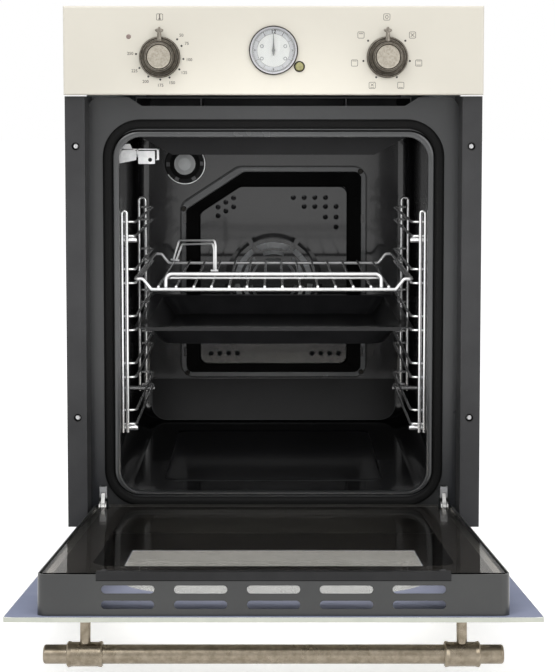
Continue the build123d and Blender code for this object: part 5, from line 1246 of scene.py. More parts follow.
@dataclass
class Knob:
    """Turned knob with stepped rings, a rod pointer, light beads on the ring crests as painted
    highlights, and a hammered cap.
    """

    node: str
    cap_node: str
    body: Body
    x: float
    height: float
    skirt: float = 22.0
    barrel: float = 15.7
    cap: float = 12.45
    cap_front: float = -17.5
    cap_seat: float = -14.2
    cap_rings: int = 22
    bulge: float = 0.35
    dent: float = 1.7
    dent_depth: float = 0.16
    shaft: float = 3.0
    shaft_rear: float = 40.0
    pointer_depth: float = -7.35
    pointer_half_depth: float = 1.62
    pointer_spans: tuple[Flat, ...] = (
        (13.8, 3.0), (16.5, 2.8), (19.0, 2.5), (22.0, 2.25), (25.6, 2.1), (26.3, 2.3),
        (26.8, 3.3), (27.5, 4.1), (28.5, 4.3), (29.4, 4.0), (30.0, 2.9), (30.2, 1.7),
        (30.8, 1.5), (31.3, 1.3), (31.7, 0.8), (32.0, 0.25))
    # Painted highlights: light beads on the ring crests, by radius, depth and half width, and the
    # section of a bead
    ridges: tuple[Point, ...] = ((13.75, -16.6, 0.5), (15.2, -14.3, 0.4), (18.9, -5.3, 0.4),
                                 (20.9, -4.9, 0.5))
    ridge_section: tuple[Flat, ...] = ((-1.0, 0.3), (-0.6, -0.12), (0.0, -0.2), (0.6, -0.12),
                                       (1.0, 0.3))

    def ring_profile(self) -> list[Flat]:
        """Draw the rings from the cap's seat out to the skirt, back and in to the shaft.

        Returns:
            Radius and depth of the points.
        """
        seat, barrel, skirt, shaft = self.cap_seat, self.barrel, self.skirt, self.shaft
        return [(0, seat), (13.0, seat), (13.0, -16.1), (13.3, -16.5), (13.8, -16.6),
                (14.4, -16.35), (14.8, -15.7), (15.0, -14.9), (15.2, seat), (barrel, -13.2),
                (barrel, -9.6), (16.1, -8.9), (16.6, -9.0), (17.3, -8.8), (17.9, -8.1),
                (18.0, -7.2), (17.8, -6.5), (18.3, -5.9), (18.9, -5.2), (19.4, -4.6), (19.9, -4.9),
                (20.7, -4.9), (21.5, -4.3), (21.95, -3.4), (skirt, -2.4), (skirt, -0.5),
                (20.0, -0.5), (20.0, -2.0), (7.0, -2.0), (7.0, -0.5), (shaft, -0.5),
                (shaft, self.shaft_rear), (0, self.shaft_rear)]

    def pointer_rings(self) -> list[list[Point]]:
        """Draw the rod and its bud from the barrel to the tip.

        Returns:
            Their oval rings, as wide as the spans say and flattened in depth.
        """
        return [[(self.x + half * math.cos(t),
                  self.pointer_depth + min(half, self.pointer_half_depth) * math.sin(t),
                  self.height + along) for t in turns(24)] for along, half in self.pointer_spans]

    def build(self) -> None:
        """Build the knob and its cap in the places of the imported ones."""
        rings = Shape()
        rings.turned(self.ring_profile(), self.x, self.height, FINE)
        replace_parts(rings.piece(self.node + "_rings", DARK_BRONZE, self.node, self.body,
                                smooth=50), self.node)
        # The pointer, and light beads on the ring crests as painted highlights
        bright = Shape()
        bright.loft(self.pointer_rings())
        for radius, depth, half in self.ridges:
            bright.turned([(radius + out * half, depth + deep) for out, deep in self.ridge_section],
                          self.x, self.height, FINE)
        bright.piece(self.node + "_pointer", LIGHT_BRONZE_AND_HIGHLIGHT, self.node, self.body, smooth=50)
        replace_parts(self.build_cap(), self.cap_node)

    def build_cap(self) -> Item:
        """Build the hammered cap, slightly bulged and with a rolled edge.

        Returns:
            The cap.
        """
        radius, front = self.cap, self.cap_front
        face = [(radius - 0.9) * i / self.cap_rings for i in range(self.cap_rings + 1)]
        profile = [(r, front + 0.15 + self.bulge * (r / radius) ** 2) for r in face]
        profile += [(radius - 0.7, front + 0.05), (radius - 0.35, front + 0.02),
                    (radius, front + 0.5), (radius, self.cap_seat), (0.0, self.cap_seat)]
        shape = Shape()
        shape.turned(profile, self.x, self.height)
        return RECIPES.dents.make(self.cap_node + "_hammered", shape.mesh(self.cap_node, 180.0),
                                  {"Dent Size": self.dent, "Dent Depth": self.dent_depth,
                                   "Seed": 5}, PEWTER, self.cap_node, self.body)


@dataclass
class Clock:
    """Analogue clock: dark bezel, bright inner slope, printed dial and setting knob collar."""

    centre: Flat = (0.0, 547.7)
    bezel: float = 26.2
    bezel_inner: float = 24.9
    opening: float = 23.4
    front: float = -3.6
    barrel: float = 24.0
    movement: Flat = (18.0, 28.0)
    dial_front: float = 3.2
    inner_line: float = 17.6
    outer_line: float = 22.2
    half_line: float = 0.12
    chapter: float = 22.4
    chapter_sheet: float = 0.03
    figures: tuple[tuple[int, float], ...] = ((12, 5.6), (3, 2.8), (6, 2.8), (9, 2.8))
    figure_ring: float = 19.9
    figure_weight: float = 0.03
    strong_hours: tuple[int, ...] = (1, 11)
    faint_hours: tuple[int, ...] = (2, 4, 5, 7, 8, 10)
    marks: tuple[Flat, ...] = ((-12.5, 4.6), (-12.5, -8.6), (12.5, 4.6), (12.5, -8.6))
    minute_ring: float = 21.6
    minute: Flat = (1.1, 0.16)
    collar_place: Flat = (27.6, 530.5)
    collar_profile: tuple[Flat, ...] = (
        (4.8, 2), (4.8, -0.9), (5.0, -1.2), (5.6, -1.15), (5.9, -0.7), (5.9, 0), (5.3, 0),
        (5.3, 25.2), (0, 25.2), (0, 23.2), (2.05, 23.2), (2.05, 2))

    def build(self) -> None:
        """Build the case, the slope, the collar and the dial's print."""
        front, inner, seat = self.front, self.bezel_inner, self.dial_front
        wide, deep = self.movement
        case = Shape()
        case.turned([(inner, front + 0.1), (inner + 0.3, front), (self.bezel - 0.5, front + 0.15),
                     (self.bezel, front + 0.9), (self.bezel, 0), (self.barrel, 0),
                     (self.barrel, 10), (wide, 10), (wide, deep), (0, deep), (0, 16), (1.25, 16),
                     (1.25, 4), (22.6, 4), (22.6, 0), (inner, 0)], *self.centre, FINE)
        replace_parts(case.piece("clock_bezel", BEZEL_DARK, "clock_case"), "clock_case")
        slope = Shape()
        slope.turned([(self.opening, front + 0.95), (inner, front + 0.25), (inner, 0), (22.65, 0),
                      (22.65, seat), (22.5, seat), (22.5, 0), (self.opening, -1.6)],
                     *self.centre, FINE)
        slope.piece("clock_slope", SLOPE_GREY, "clock_dial")
        collar = Shape()
        collar.turned(self.collar_profile, *self.collar_place, 48)
        collar.piece("clock_knob_collar", BEZEL_DARK, "clock_case")
        self.build_print()
        dress(DIAL_WHITE, "clock_dial")
        dress(CLEAR_GLASS, "clock_glass")
        dress(HAND_GREY, "hour_hand", "minute_hand")
        dress(OLIVE_BRASS, "clock_knob")

    def hour_line(self, shape: Shape, hour: int, inset: Flat, width: float) -> None:
        """Draw the line of an hour, kept off the inner and the outer ring line by the inset."""
        ends = (self.inner_line + inset[0], self.outer_line - inset[1])
        shape.stroke([on_circle(self.centre, radius, hour * 30) for radius in ends], width,
                     self.dial_front - PRINT_SHEET, self.dial_front)

    def build_print(self) -> None:
        """Print the two rings, the hour lines, the figures and the minute marks."""
        x, z = self.centre
        face = self.dial_front
        near = face - PRINT_SHEET
        chapter, strong, faint, pale = Shape(), Shape(), Shape(), Shape()
        chapter.band(circle(self.centre, self.chapter), circle(self.centre, self.inner_line),
                     face - self.chapter_sheet, face)
        chapter.piece("clock_chapter", CHAPTER_GREY, "clock_dial")
        for value, size in self.figures:
            strong.text(str(value), on_circle(self.centre, self.figure_ring, value * 30), size,
                        near, self.figure_weight * size)
        for hour in self.strong_hours:
            self.hour_line(strong, hour, (0.4, 0.6), 0.55)
        strong.piece("clock_figures", PRINT_BROWN, "clock_dial")
        for radius in (self.inner_line, self.outer_line):
            faint.band(circle(self.centre, radius + self.half_line),
                       circle(self.centre, radius - self.half_line), near, face)
        for hour in self.faint_hours:
            self.hour_line(faint, hour, (0.0, 1.0), 0.3)
        faint.piece("clock_lines", PRINT_FAINT, "clock_dial")
        for side, rise in self.marks:
            place = (x + side, z + rise)
            pale.band(circle(place, 2.0, 12), circle(place, 1.1, 12), near, face)
        pale.piece("clock_marks", PRINT_PALE, "clock_dial")
        RECIPES.bars.make("clock_minutes",
                          seed_points("clock_minutes", [(x, face - PRINT_SHEET / 2, z)]),
                          {"Count": 60, "Radius": self.minute_ring, "Length": self.minute[0],
                           "Width": self.minute[1], "Thickness": PRINT_SHEET},
                          PRINT_FAINT, "clock_dial")


@dataclass
class ControlPanel:
    """Cream panel with its prints, knobs, clock and signal lamp."""

    knob_x: float = 121.3
    knob_height: float = 540.4
    print_rise: float = 1.7
    modes_shift: float = -0.7
    heats: tuple[tuple[int, float], ...] = ((50, 47), (75, 66), (100, 98), (125, 125), (150, 156),
                                            (175, 179), (200, 209), (225, 239), (250, 274))
    modes: tuple[Symbol, ...] = (Symbol.FAN, Symbol.TOP_AND_BOTTOM, Symbol.BOTTOM, Symbol.FAN_LOW,
                                 Symbol.TOP, Symbol.GRILL)

    def build(self) -> None:
        """Dress the panel and build what it carries."""
        dress(PANEL_CREAM, "control_panel")
        dress(ZINC, "panel_bracket")
        dress(BLACK_PLASTIC, "rotary_switches")
        dress(RED_LENS, "indicator_lens")
        self.print_heats()
        self.print_modes()
        for side, kind, body in ((-1, "thermostat", Body.THERMOSTAT),
                                 (1, "function", Body.FUNCTION)):
            Knob(kind + "_knob", kind + "_cap", body, side * self.knob_x, self.knob_height).build()
        Clock().build()

    def print_heats(self) -> None:
        """Print the temperatures and their symbol."""
        dial = DialPrint((-self.knob_x, self.knob_height + self.print_rise))
        dial.dots("thermostat_dots", [angle for _, angle in self.heats])
        shape = Shape()
        for value, angle in self.heats:
            shape.text(str(value), on_circle(dial.centre, dial.figure_ring, angle),
                       dial.figure_size, dial.face - PRINT_SHEET, dial.figure_weight)
        dial.symbol(shape, Symbol.THERMOMETER, on_circle(dial.centre, dial.symbol_top, 0))
        shape.piece("thermostat_figures", PRINT_FAINT, "control_panel")

    def print_modes(self) -> None:
        """Print the seven symbols of the function switch."""
        dial = DialPrint((self.knob_x + self.modes_shift, self.knob_height + self.print_rise))
        step = 360 / (len(self.modes) + 1)
        angles = [step * i for i in range(1, len(self.modes) + 1)]
        dial.dots("function_dots", angles)
        shape = Shape()
        dial.symbol(shape, Symbol.LAMP_ROUND, on_circle(dial.centre, dial.symbol_top, 0))
        for kind, angle in zip(self.modes, angles):
            dial.symbol(shape, kind, on_circle(dial.centre, dial.symbol_ring, angle))
        shape.piece("function_symbols", PRINT_FAINT, "control_panel")


# -------- cavity


@dataclass
class Lamp:
    """Oven lamp: domed glass in a bayonet ring with lugs, and a bright wire arc along the ring's
    lower half, a painted highlight.
    """

    x: float = -120.0
    height: float = 410.0
    wall: float = 463.0
    dome: float = 14.4
    bezel: float = 20.4
    bezel_rise: float = 9.6
    lug_ring: float = 22.8
    lug: Point = (4.4, 5.4, 2.2)
    lug_rise: float = 5.0
    # Painted highlight on the ring's lower half: radius, rise from the wall, wire radius and angles
    # of its bright arc
    clip_ring: float = 26.9
    clip_rise: float = 3.2
    clip_wire: float = 0.75
    clip_angles: tuple[int, int] = (62, 238)

    def build(self) -> None:
        """Dress the lamp and add its bezel, its lugs and the painted highlight on its lower rim."""
        dress(LAMP_RING, "lamp_housing")
        dress(LAMP_GLASS, "lamp_glass")
        near, dome = self.wall - self.bezel_rise, self.dome
        bezel = Shape()
        bezel.turned([(dome, near), (dome + 0.9, near - 0.5), (dome + 1.8, near),
                      (dome + 4.6, near + 1.6), (self.bezel, near + 2.6), (self.bezel, near + 3.2),
                      (dome, near + 3.2)], self.x, self.height)
        bezel.piece("lamp_bezel", LAMP_RING, "lamp_housing")
        length, width, thickness = self.lug
        RECIPES.bars.make("lamp_lugs",
                          seed_points("lamp_lugs",
                                      [(self.x, self.wall - self.lug_rise, self.height)]),
                          {"Count": 6, "Radius": self.lug_ring, "Length": length, "Width": width,
                           "Thickness": thickness, "Start": 0.5}, LAMP_LUG, "lamp_housing")
        # The bright arc is a painted highlight, bent as a thin wire
        start, end = self.clip_angles
        arc = [on_circle((self.x, self.height), self.clip_ring, angle)
               for angle in range(start, end + 1, 4)]
        RECIPES.bend("lamp_clip", [[(x, self.wall - self.clip_rise, z) for x, z in arc]],
                     self.clip_wire, 0.2, 10, 1, WIRE_PAINTED_SHEEN, "lamp_housing")


@dataclass
class Sensor:
    """Bright bracket in the upper left corner, with a corner plate, a tab, a hook and a probe."""

    wall: float = -187.0
    near: float = 84.0
    sheet: float = 1.2
    rear: float = 96.5
    corner: tuple[Flat, ...] = ((-187.0, 423.6), (-172.0, 424.4), (-154.2, 428.0),
                                (-153.8, 438.0), (-158.6, 440.6), (-161.0, 446.0),
                                (-187.0, 446.0))
    tab: Extent = (-151.9, -133.2, 423.6, 438.2)
    hole: Flat = (-138.7, 428.2)
    hole_radius: float = 2.3
    strap_rise: Flat = (1.2, 2.3)
    hook: tuple[float, float, float] = (1.0, 2.2, 4.6)
    hook_low: Flat = (4.4, 5.4)
    web: Flat = (1.6, 4.0)
    probe: float = 2.2
    probe_right: float = -135.0
    probe_depth: float = 6.5
    probe_height: float = 433.0

    def build(self) -> None:
        """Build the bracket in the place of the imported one."""
        left, right, low, high = self.tab
        far = self.near + self.sheet
        foot, top = high + self.strap_rise[0], high + self.strap_rise[1]
        start, bend, end = (right + reach for reach in self.hook)
        tip = low + self.hook_low[0]
        shape = Shape()
        shape.prism(rounded(self.corner, 0.8, 3), self.near, far)
        shape.pierced(rounded(rectangle(*self.tab), 0.9, 6), self.hole, self.hole_radius,
                      self.near, far)
        shape.prism(rectangle(self.wall, end, foot, top), self.near, self.rear)
        shape.prism(rectangle(bend, end, tip, top), self.near, far)
        shape.prism(rectangle(start, bend, tip, low + self.hook_low[1]), self.near, far)
        shape.prism(rectangle(left - self.web[0], left, high - self.web[1], top), self.near, far)
        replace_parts(shape.piece("sensor_plates", PLATE_BRIGHT, "sensor_bracket"),
                    "sensor_bracket")
        depth = self.near + self.probe_depth
        RECIPES.bend("sensor_probe", [[(self.wall + 0.2, depth, self.probe_height),
                                       (self.probe_right, depth, self.probe_height)]],
                     self.probe, 1.0, 20, 2, BRIGHT_STEEL, "sensor_bracket")


@dataclass
class Cavity:
    """Enamelled cavity with the fan cover, heaters, hood, lamp and ladders."""

    mouth_half: float = 170.0
    mouth_low: float = 59.5
    mouth_high: float = 454.5
    mouth_corner: float = 24.0
    frame_face: float = 44.0
    lip_foot: float = 0.42
    # Sections of what runs round the mouth: growth of the outline, and depth from the frame
    lip_section: tuple[Flat, ...] = ((0.1, 3.0), (0.1, -0.3), (0.9, -0.8), (5.0, -0.8),
                                     (5.9, -0.3), (5.9, 0.2))
    # Painted shade: a near-black ring in the groove just outside the lip
    lip_joint: tuple[Flat, ...] = ((5.92, -0.3), (7.6, -0.2), (7.6, 0.4), (5.92, 0.4))
    chamber_half: float = 118.5
    chamber_low: float = 126.0
    chamber_high: float = 399.0
    chamber_corner: float = 9.0
    chamfer: Flat = (78.0, 51.0)
    plate_chamfer: float = 0.7
    # Sections of what runs round the fan chamber, with their depth from the rear wall
    rim_section: tuple[Flat, ...] = ((0.1, -1.1), (0.7, -2.0), (6.4, -2.0), (7.2, -1.1))
    # Painted shade: a near-black ring in the groove just outside the rim
    rim_joint: tuple[Flat, ...] = ((7.3, -1.5), (8.5, -0.5), (8.5, -0.1), (7.3, -0.1))
    gap: float = 19.0
    gap_foot: float = 12.5
    gap_edge: float = 0.15
    rear: float = 463.0
    cover_near: float = 451.0
    cover_screws: tuple[Flat, ...] = ((118.0, 400.0), (-122.0, 349.0), (-117.6, 124.4),
                                      (119.7, 125.8))
    cover_screw: Point = (3.6, 2.2, 0.9)
    apron_half: float = 166.0
    apron_near: float = 449.0
    apron_low: float = 2.5
    apron_high: float = 116.0
    apron_corner: float = 21.0
    apron_sheet: float = 1.2
    apron_wire: float = 0.7
    panel: Extent = (-125.0, 125.0, 100.0, 376.0)
    panel_levels: tuple[Flat, ...] = ((0.0, -0.2), (0.0, 0.2), (2.2, 1.4))
    # Near-black strip behind the floor panel, painted shade of a groove: its extent and levels
    groove: Extent = (-126.0, 126.0, 376.5, 385.0)
    groove_levels: tuple[float, float] = (-0.2, 0.15)

    def build(self) -> None:
        """Dress the cavity and add what is fixed in it."""
        dress(CAVITY_BLACK, "muffle_wrap", "muffle_rear")
        dress(COVER_BLACK, "fan_cover")
        dress(HOOD_BLACK, "grill_hood")
        dress(HEATER_SHEATH, "grill_element", "ring_heater", "bottom_heater")
        dress(LADDER_CHROME, "ladder_left", "ladder_right", "ladder_studs")
        dress(ALUMINIUM, "convection_fan")
        dress(ZINC, "fan_motor")
        Lamp().build()
        Sensor().build()
        face, rear = self.frame_face, self.rear
        # The mouth's lip and the chamber's rim take the lighter grey as a painted reflection of the
        # white surroundings
        self.sweep("mouth_lip", self.mouth, self.lip_section, face, EDGE_HIGHLIGHT_GREY, "front_frame")
        self.sweep("lip_joint", self.mouth, self.lip_joint, face, SHADE_BLACK, "front_frame")
        self.build_channel()
        self.sweep("chamber_rim", self.chamber, self.rim_section, rear, EDGE_HIGHLIGHT_GREY, "fan_cover")
        self.sweep("chamber_joint", self.chamber, self.rim_joint, rear, SHADE_BLACK, "fan_cover")
        self.build_floor()
        self.build_apron()
        RECIPES.screw("fan_cover_screws", [(x, self.rear - 1.9, z) for x, z in self.cover_screws],
                      (0, -1, 0), self.cover_screw, HEATER_SHEATH, "fan_cover")

    def sweep(self, name: str, outline: Callable[[float], list[Flat]], section: Sequence[Flat],
              depth: float, finish: Finish, slot: str) -> None:
        """Sweep a section round an outline and keep it as a piece.

        Args:
            name: Name of the piece.
            outline: Gives the outline for a growth.
            section: Growth and depth of the section's points.
            depth: Depth that theirs counts from.
            finish: Its finish.
            slot: The record's material slot.
        """
        shape = Shape()
        shape.ring([(outline(grow), depth + deep) for grow, deep in section])
        shape.piece(name, finish, slot)

    def mouth(self, grow: float) -> list[Flat]:
        """Outline of the cavity's mouth.

        Args:
            grow: How far it is grown, but for its foot, where it grows less.

        Returns:
            The outline.
        """
        half = self.mouth_half + grow
        foot = grow * self.lip_foot
        return rounded(rectangle(-half, half, self.mouth_low - foot, self.mouth_high + grow),
                       self.mouth_corner + (grow + foot) / 2, 12)

    def chamber(self, grow: float, foot: Optional[float] = None) -> list[Flat]:
        """Outline of the fan chamber, or of the raised plate inside it.

        Args:
            grow: How far it is grown.
            foot: How far its foot is, where that is another measure.

        Returns:
            The outline.
        """
        half = self.chamber_half + grow
        low = self.chamber_low - (grow if foot is None else foot)
        high = self.chamber_high + grow
        part = 1.0 if grow > -10 else self.plate_chamfer
        run, rise = self.chamfer[0] * part, self.chamfer[1] * part
        return rounded([(half, high), (-half + run, high), (-half, high - rise), (-half, low),
                        (half, low)], self.chamber_corner + max(grow, -1.0))

    def build_channel(self) -> None:
        """Build a near-black sloped sheet round the raised plate of the fan cover, painted shade of
        the air gap into the fan chamber.
        """
        plate, slope = (self.chamber(inset - self.gap, inset - self.gap_foot)
                        for inset in (self.gap_edge, 2.0))
        edge = self.chamber(-self.gap_edge)
        near, far = self.cover_near, self.rear - 1.4
        gap_shade = Shape()
        gap_shade.ring([(plate, near + 1.6), (slope, near + 3.4), (edge, near + 3.5), (edge, far),
                      (plate, far)])
        gap_shade.piece("chamber_channel", SHADE_BLACK, "fan_cover")

    def build_floor(self) -> None:
        """Build the raised panel pressed into the cavity's floor, and behind it a near-black strip,
        painted shade of a groove.
        """
        low = self.mouth_low
        left, right, near, far = self.panel
        panel = Shape()
        panel.loft([[(x, depth, low + rise) for x, depth in rounded(rectangle(
            left + inset, right - inset, near + inset, far - inset), 14.0)]
            for inset, rise in self.panel_levels])
        panel.piece("floor_panel", FLOOR_BLACK, "muffle_wrap", smooth=18)
        # Near-black strip: painted shade of the groove behind the panel
        groove = Shape()
        groove.loft([[(x, depth, low + rise) for x, depth in rounded(rectangle(*self.groove), 4.0)]
                     for rise in self.groove_levels])
        groove.piece("floor_groove", SHADE_BLACK, "muffle_wrap")

    def build_apron(self) -> None:
        """Build the sheet that closes the foot of the rear wall, and a light grey wire along its
        lower edge, a painted highlight.
        """
        half, corner = self.apron_half, self.apron_corner
        low, high = self.mouth_low + self.apron_low, self.apron_high
        slope = (self.rear - 0.4 - self.apron_near) / (high - low)
        outline = [(x, z) for x, z in rounded(rectangle(-half, half, low, 3 * high), corner, 10)
                   if z < high]
        outline += [(half, high), (-half, high)]
        apron = Shape()
        apron.loft([[(x, self.apron_near + slope * (z - low) + deep, z) for x, z in outline]
                    for deep in (0.0, self.apron_sheet)])
        apron.piece("rear_apron", APRON_BLACK, "muffle_rear", smooth=18)
        # Painted highlight: a thin light wire along the apron's lower edge and up its corners
        near, rise = self.apron_near - 0.3, 40
        path = [(-half, near + slope * rise, low + rise), (-half, near, low), (half, near, low),
                (half, near + slope * rise, low + rise)]
        RECIPES.bend("rear_apron_edge", [path], self.apron_wire, corner, 10, 10, EDGE_HIGHLIGHT_GREY,
                     "muffle_rear")


@dataclass
class Bakeware:
    """Wire rack, enamelled tray and the wire handle that lifts the tray."""

    foot: float = 287.8
    rear: Flat = (-131.0, 376.0)
    lean: float = 8.0
    front: Flat = (-70.6, 235.0)
    rear_rise: float = 26.0
    front_rise: float = 37.0
    pair: float = 4.4
    wire: float = 1.3
    bend: float = 8.0
    # Painted highlight band on the tray's front lip: its extent and depths
    lip: Extent = (-155.0, 155.0, 237.9, 239.1)
    lip_depths: Flat = (80.05, 80.9)

    def build(self) -> None:
        """Dress the loose pieces in the cavity and build the handle."""
        dress(CHROME, "rack")
        dress(TRAY_BLACK, "baking_tray")
        # Painted highlight: a thin light band along the tray's front edge
        lip = Shape()
        lip.prism(rectangle(*self.lip), *self.lip_depths)
        lip.piece("tray_lip", EDGE_HIGHLIGHT_GREY, "baking_tray", Body.TRAY)
        # The handle's chrome wire is drawn near-white and diffuse, a painted sheen
        handle = RECIPES.bend("tray_handle_wires", self.handle_paths(), self.wire, self.bend, 16,
                              8, WIRE_PAINTED_SHEEN, "tray_handle", Body.LIFTER)
        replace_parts(handle, "tray_handle")

    def handle_paths(self) -> list[list[Point]]:
        """Draw the two bent wires of the handle and the three short ones at their feet.

        Returns:
            The paths.
        """
        x, depth = self.rear
        near_x, near = self.front
        low = self.foot
        paths = [[(x + inset, depth - 2 * inset, low),
                  (x + self.lean + inset, depth - self.lean - 2 * inset,
                   low + self.rear_rise - inset),
                  (near_x - inset / 2, near + inset, low + self.front_rise - inset),
                  (near_x - inset / 2, near + inset, low)] for inset in (0.0, self.pair)]
        return paths + [[(x - 3, depth + 1.2, low), (x + self.pair + 3, depth - 10.2, low)],
                        [(near_x + 3, near, low), (near_x - 6, near, low)],
                        [(near_x, near - 1, low), (near_x - 3, near + 8, low)]]


# -------- door


@dataclass
class Door:
    """Drop-down door: two panes with printed borders, the liner and the handle."""

    half: float = 224.5
    low: float = 20.0
    high: float = 496.7
    pane: float = 4.0
    corner: float = 3.0
    print_inset: float = 0.6
    print_depths: Flat = (0.02, 0.14)
    window_half: float = 145.5
    window_low: float = 160.0
    shoulder: float = 300.0
    window_high: float = 400.0
    arch: Flat = (0.62, 0.9)
    inner_half: float = 193.5
    inner_low: float = 48.0
    inner_high: float = 487.0
    notch: Flat = (13.5, 22.0)
    inner_face: float = 39.0
    inner_window: Extent = (-158.0, 158.0, 74.0, 441.0)
    inner_corner: float = 22.0
    shield_high: float = 300.0
    shield_inset: float = 4.0
    shield_edge: float = 0.5
    shield_depths: Flat = (0.3, 1.1)
    # Painted shadow: a near-black strip in the gap under the top rail, its extent and depths
    rail_gap: Extent = (-148.0, 148.0, 490.9, 491.4)
    rail_gap_depths: Flat = (33.0, 35.0)

    def arched_window(self) -> list[Flat]:
        """Draw the clear window in the outer glass, with its arched top.

        Returns:
            The outline.
        """
        half = self.window_half
        rise = self.window_high - self.shoulder
        wide, tall = self.arch
        line = [(half, self.window_low)]
        for turn in turns(48)[:25]:
            side = math.copysign(abs(math.cos(turn)) ** wide, math.cos(turn))
            line.append((half * side, self.shoulder + rise * math.sin(turn) ** tall))
        return line + [(-half, self.window_low)]

    def border(self, outer: Sequence[Flat], inner: Sequence[Flat], depths: Flat) -> Shape:
        """Fill between a pane's outline and its window, in the thickness of the print.

        Args:
            outer: The pane's outline.
            inner: The window's outline.
            depths: Depths of the print's two faces.

        Returns:
            The shape.
        """
        steps = 288
        centre = (0.0, (min(z for _, z in inner) + max(z for _, z in inner)) / 2)
        shape = Shape()
        shape.band(*([ray_point(line, centre, 360 * i / steps) for i in range(steps)]
                     for line in (outer, inner)), *depths)
        return shape

    def build(self) -> None:
        """Build the panes, their prints and the shield, and dress the rest of the door."""
        self.build_outer_pane()
        self.build_inner_print()
        # Painted shadow under the top rail
        gap = Shape()
        gap.prism(rectangle(*self.rail_gap), *self.rail_gap_depths)
        gap.piece("door_rail_gap", SHADE_BLACK, "door_top_rail", Body.DOOR)
        self.build_shield()
        dress(INNER_GLASS, "inner_glass")
        dress(LINER_GREY, "door_liner")
        dress(RAIL_BLACK, "door_top_rail")
        dress(BLACK_PLASTIC, "door_buffers")
        dress(HINGE_STEEL, "door_screws", "hinge_channels")
        dress(AGED_BRASS, "handle_bar", "handle_mounts")

    def build_outer_pane(self) -> None:
        """Build the outer pane with its pale ground edge, and the print on its back."""
        inset = self.print_inset
        outer = Shape()
        outer.prism(rounded(rectangle(-self.half, self.half, self.low, self.high), self.corner, 4),
                    0.0, self.pane)
        pane = outer.piece("outer_pane", CLEAR_GLASS, "outer_glass", Body.DOOR)
        self.refinish(pane, EDGE_PALE, lambda outward: abs(outward) < 0.5)
        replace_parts(pane, "outer_glass")
        edge = rounded(rectangle(-self.half + inset, self.half - inset, self.low + inset,
                                 self.high - inset), self.corner, 4)
        off, thick = self.print_depths
        shape = self.border(edge, self.arched_window(), (self.pane + off, self.pane + thick))
        printed = shape.piece("outer_glass_print", GLASS_BACK_PRINT_AND_REFLECTION, "outer_glass", Body.DOOR)
        self.refinish(printed, GLASS_FACE, lambda outward: outward > 0.5)

    def build_inner_print(self) -> None:
        """Print the border of the inner pane, whose lower corners are cut out for the hinges."""
        inset = self.print_inset
        half, corner = self.inner_half - inset, self.inner_half - self.notch[0] - inset
        low, high = self.inner_low + inset, self.inner_high - inset
        notch = self.inner_low + self.notch[1] + inset
        edge = [(-corner, low), (corner, low), (corner, notch), (half, notch), (half, high),
                (-half, high), (-half, notch), (-corner, notch)]
        window = rounded(rectangle(*self.inner_window), self.inner_corner)
        face = self.inner_face - self.pane
        off, thick = self.print_depths
        shape = self.border(edge, window, (face - thick, face - off))
        shape.piece("inner_glass_print", GLASS_BORDER, "inner_glass", Body.DOOR)

    def build_shield(self) -> None:
        """Build the heat shield behind the outer pane, open where the window is."""
        half, high = self.inner_half - self.shield_inset, self.shield_high
        edge, sill = self.window_half + self.shield_edge, self.window_low - self.shield_edge
        shield = Shape()
        shield.prism([(half, high), (edge, high), (edge, sill), (-edge, sill), (-edge, high),
                      (-half, high), (-half, self.inner_low), (half, self.inner_low)],
                     *(self.pane + depth for depth in self.shield_depths))
        shield.piece("door_heat_shield", RAIL_BLACK, "door_liner", Body.DOOR)

    def refinish(self, piece: Item, finish: Finish,
                 picks: Callable[[float], bool]) -> None:
        """Give some faces of a piece a second finish.

        Args:
            piece: The piece.
            finish: The second finish.
            picks: Tells from how squarely a face looks outwards whether it is one of them.
        """
        piece.data.materials.append(finish.material())
        outward = (DOOR_TURN.to_3x3() @ Vector((0, -1, 0))).normalized()
        for face in piece.data.polygons:
            if picks(face.normal.dot(outward)):
                face.material_index = 1


# -------- body


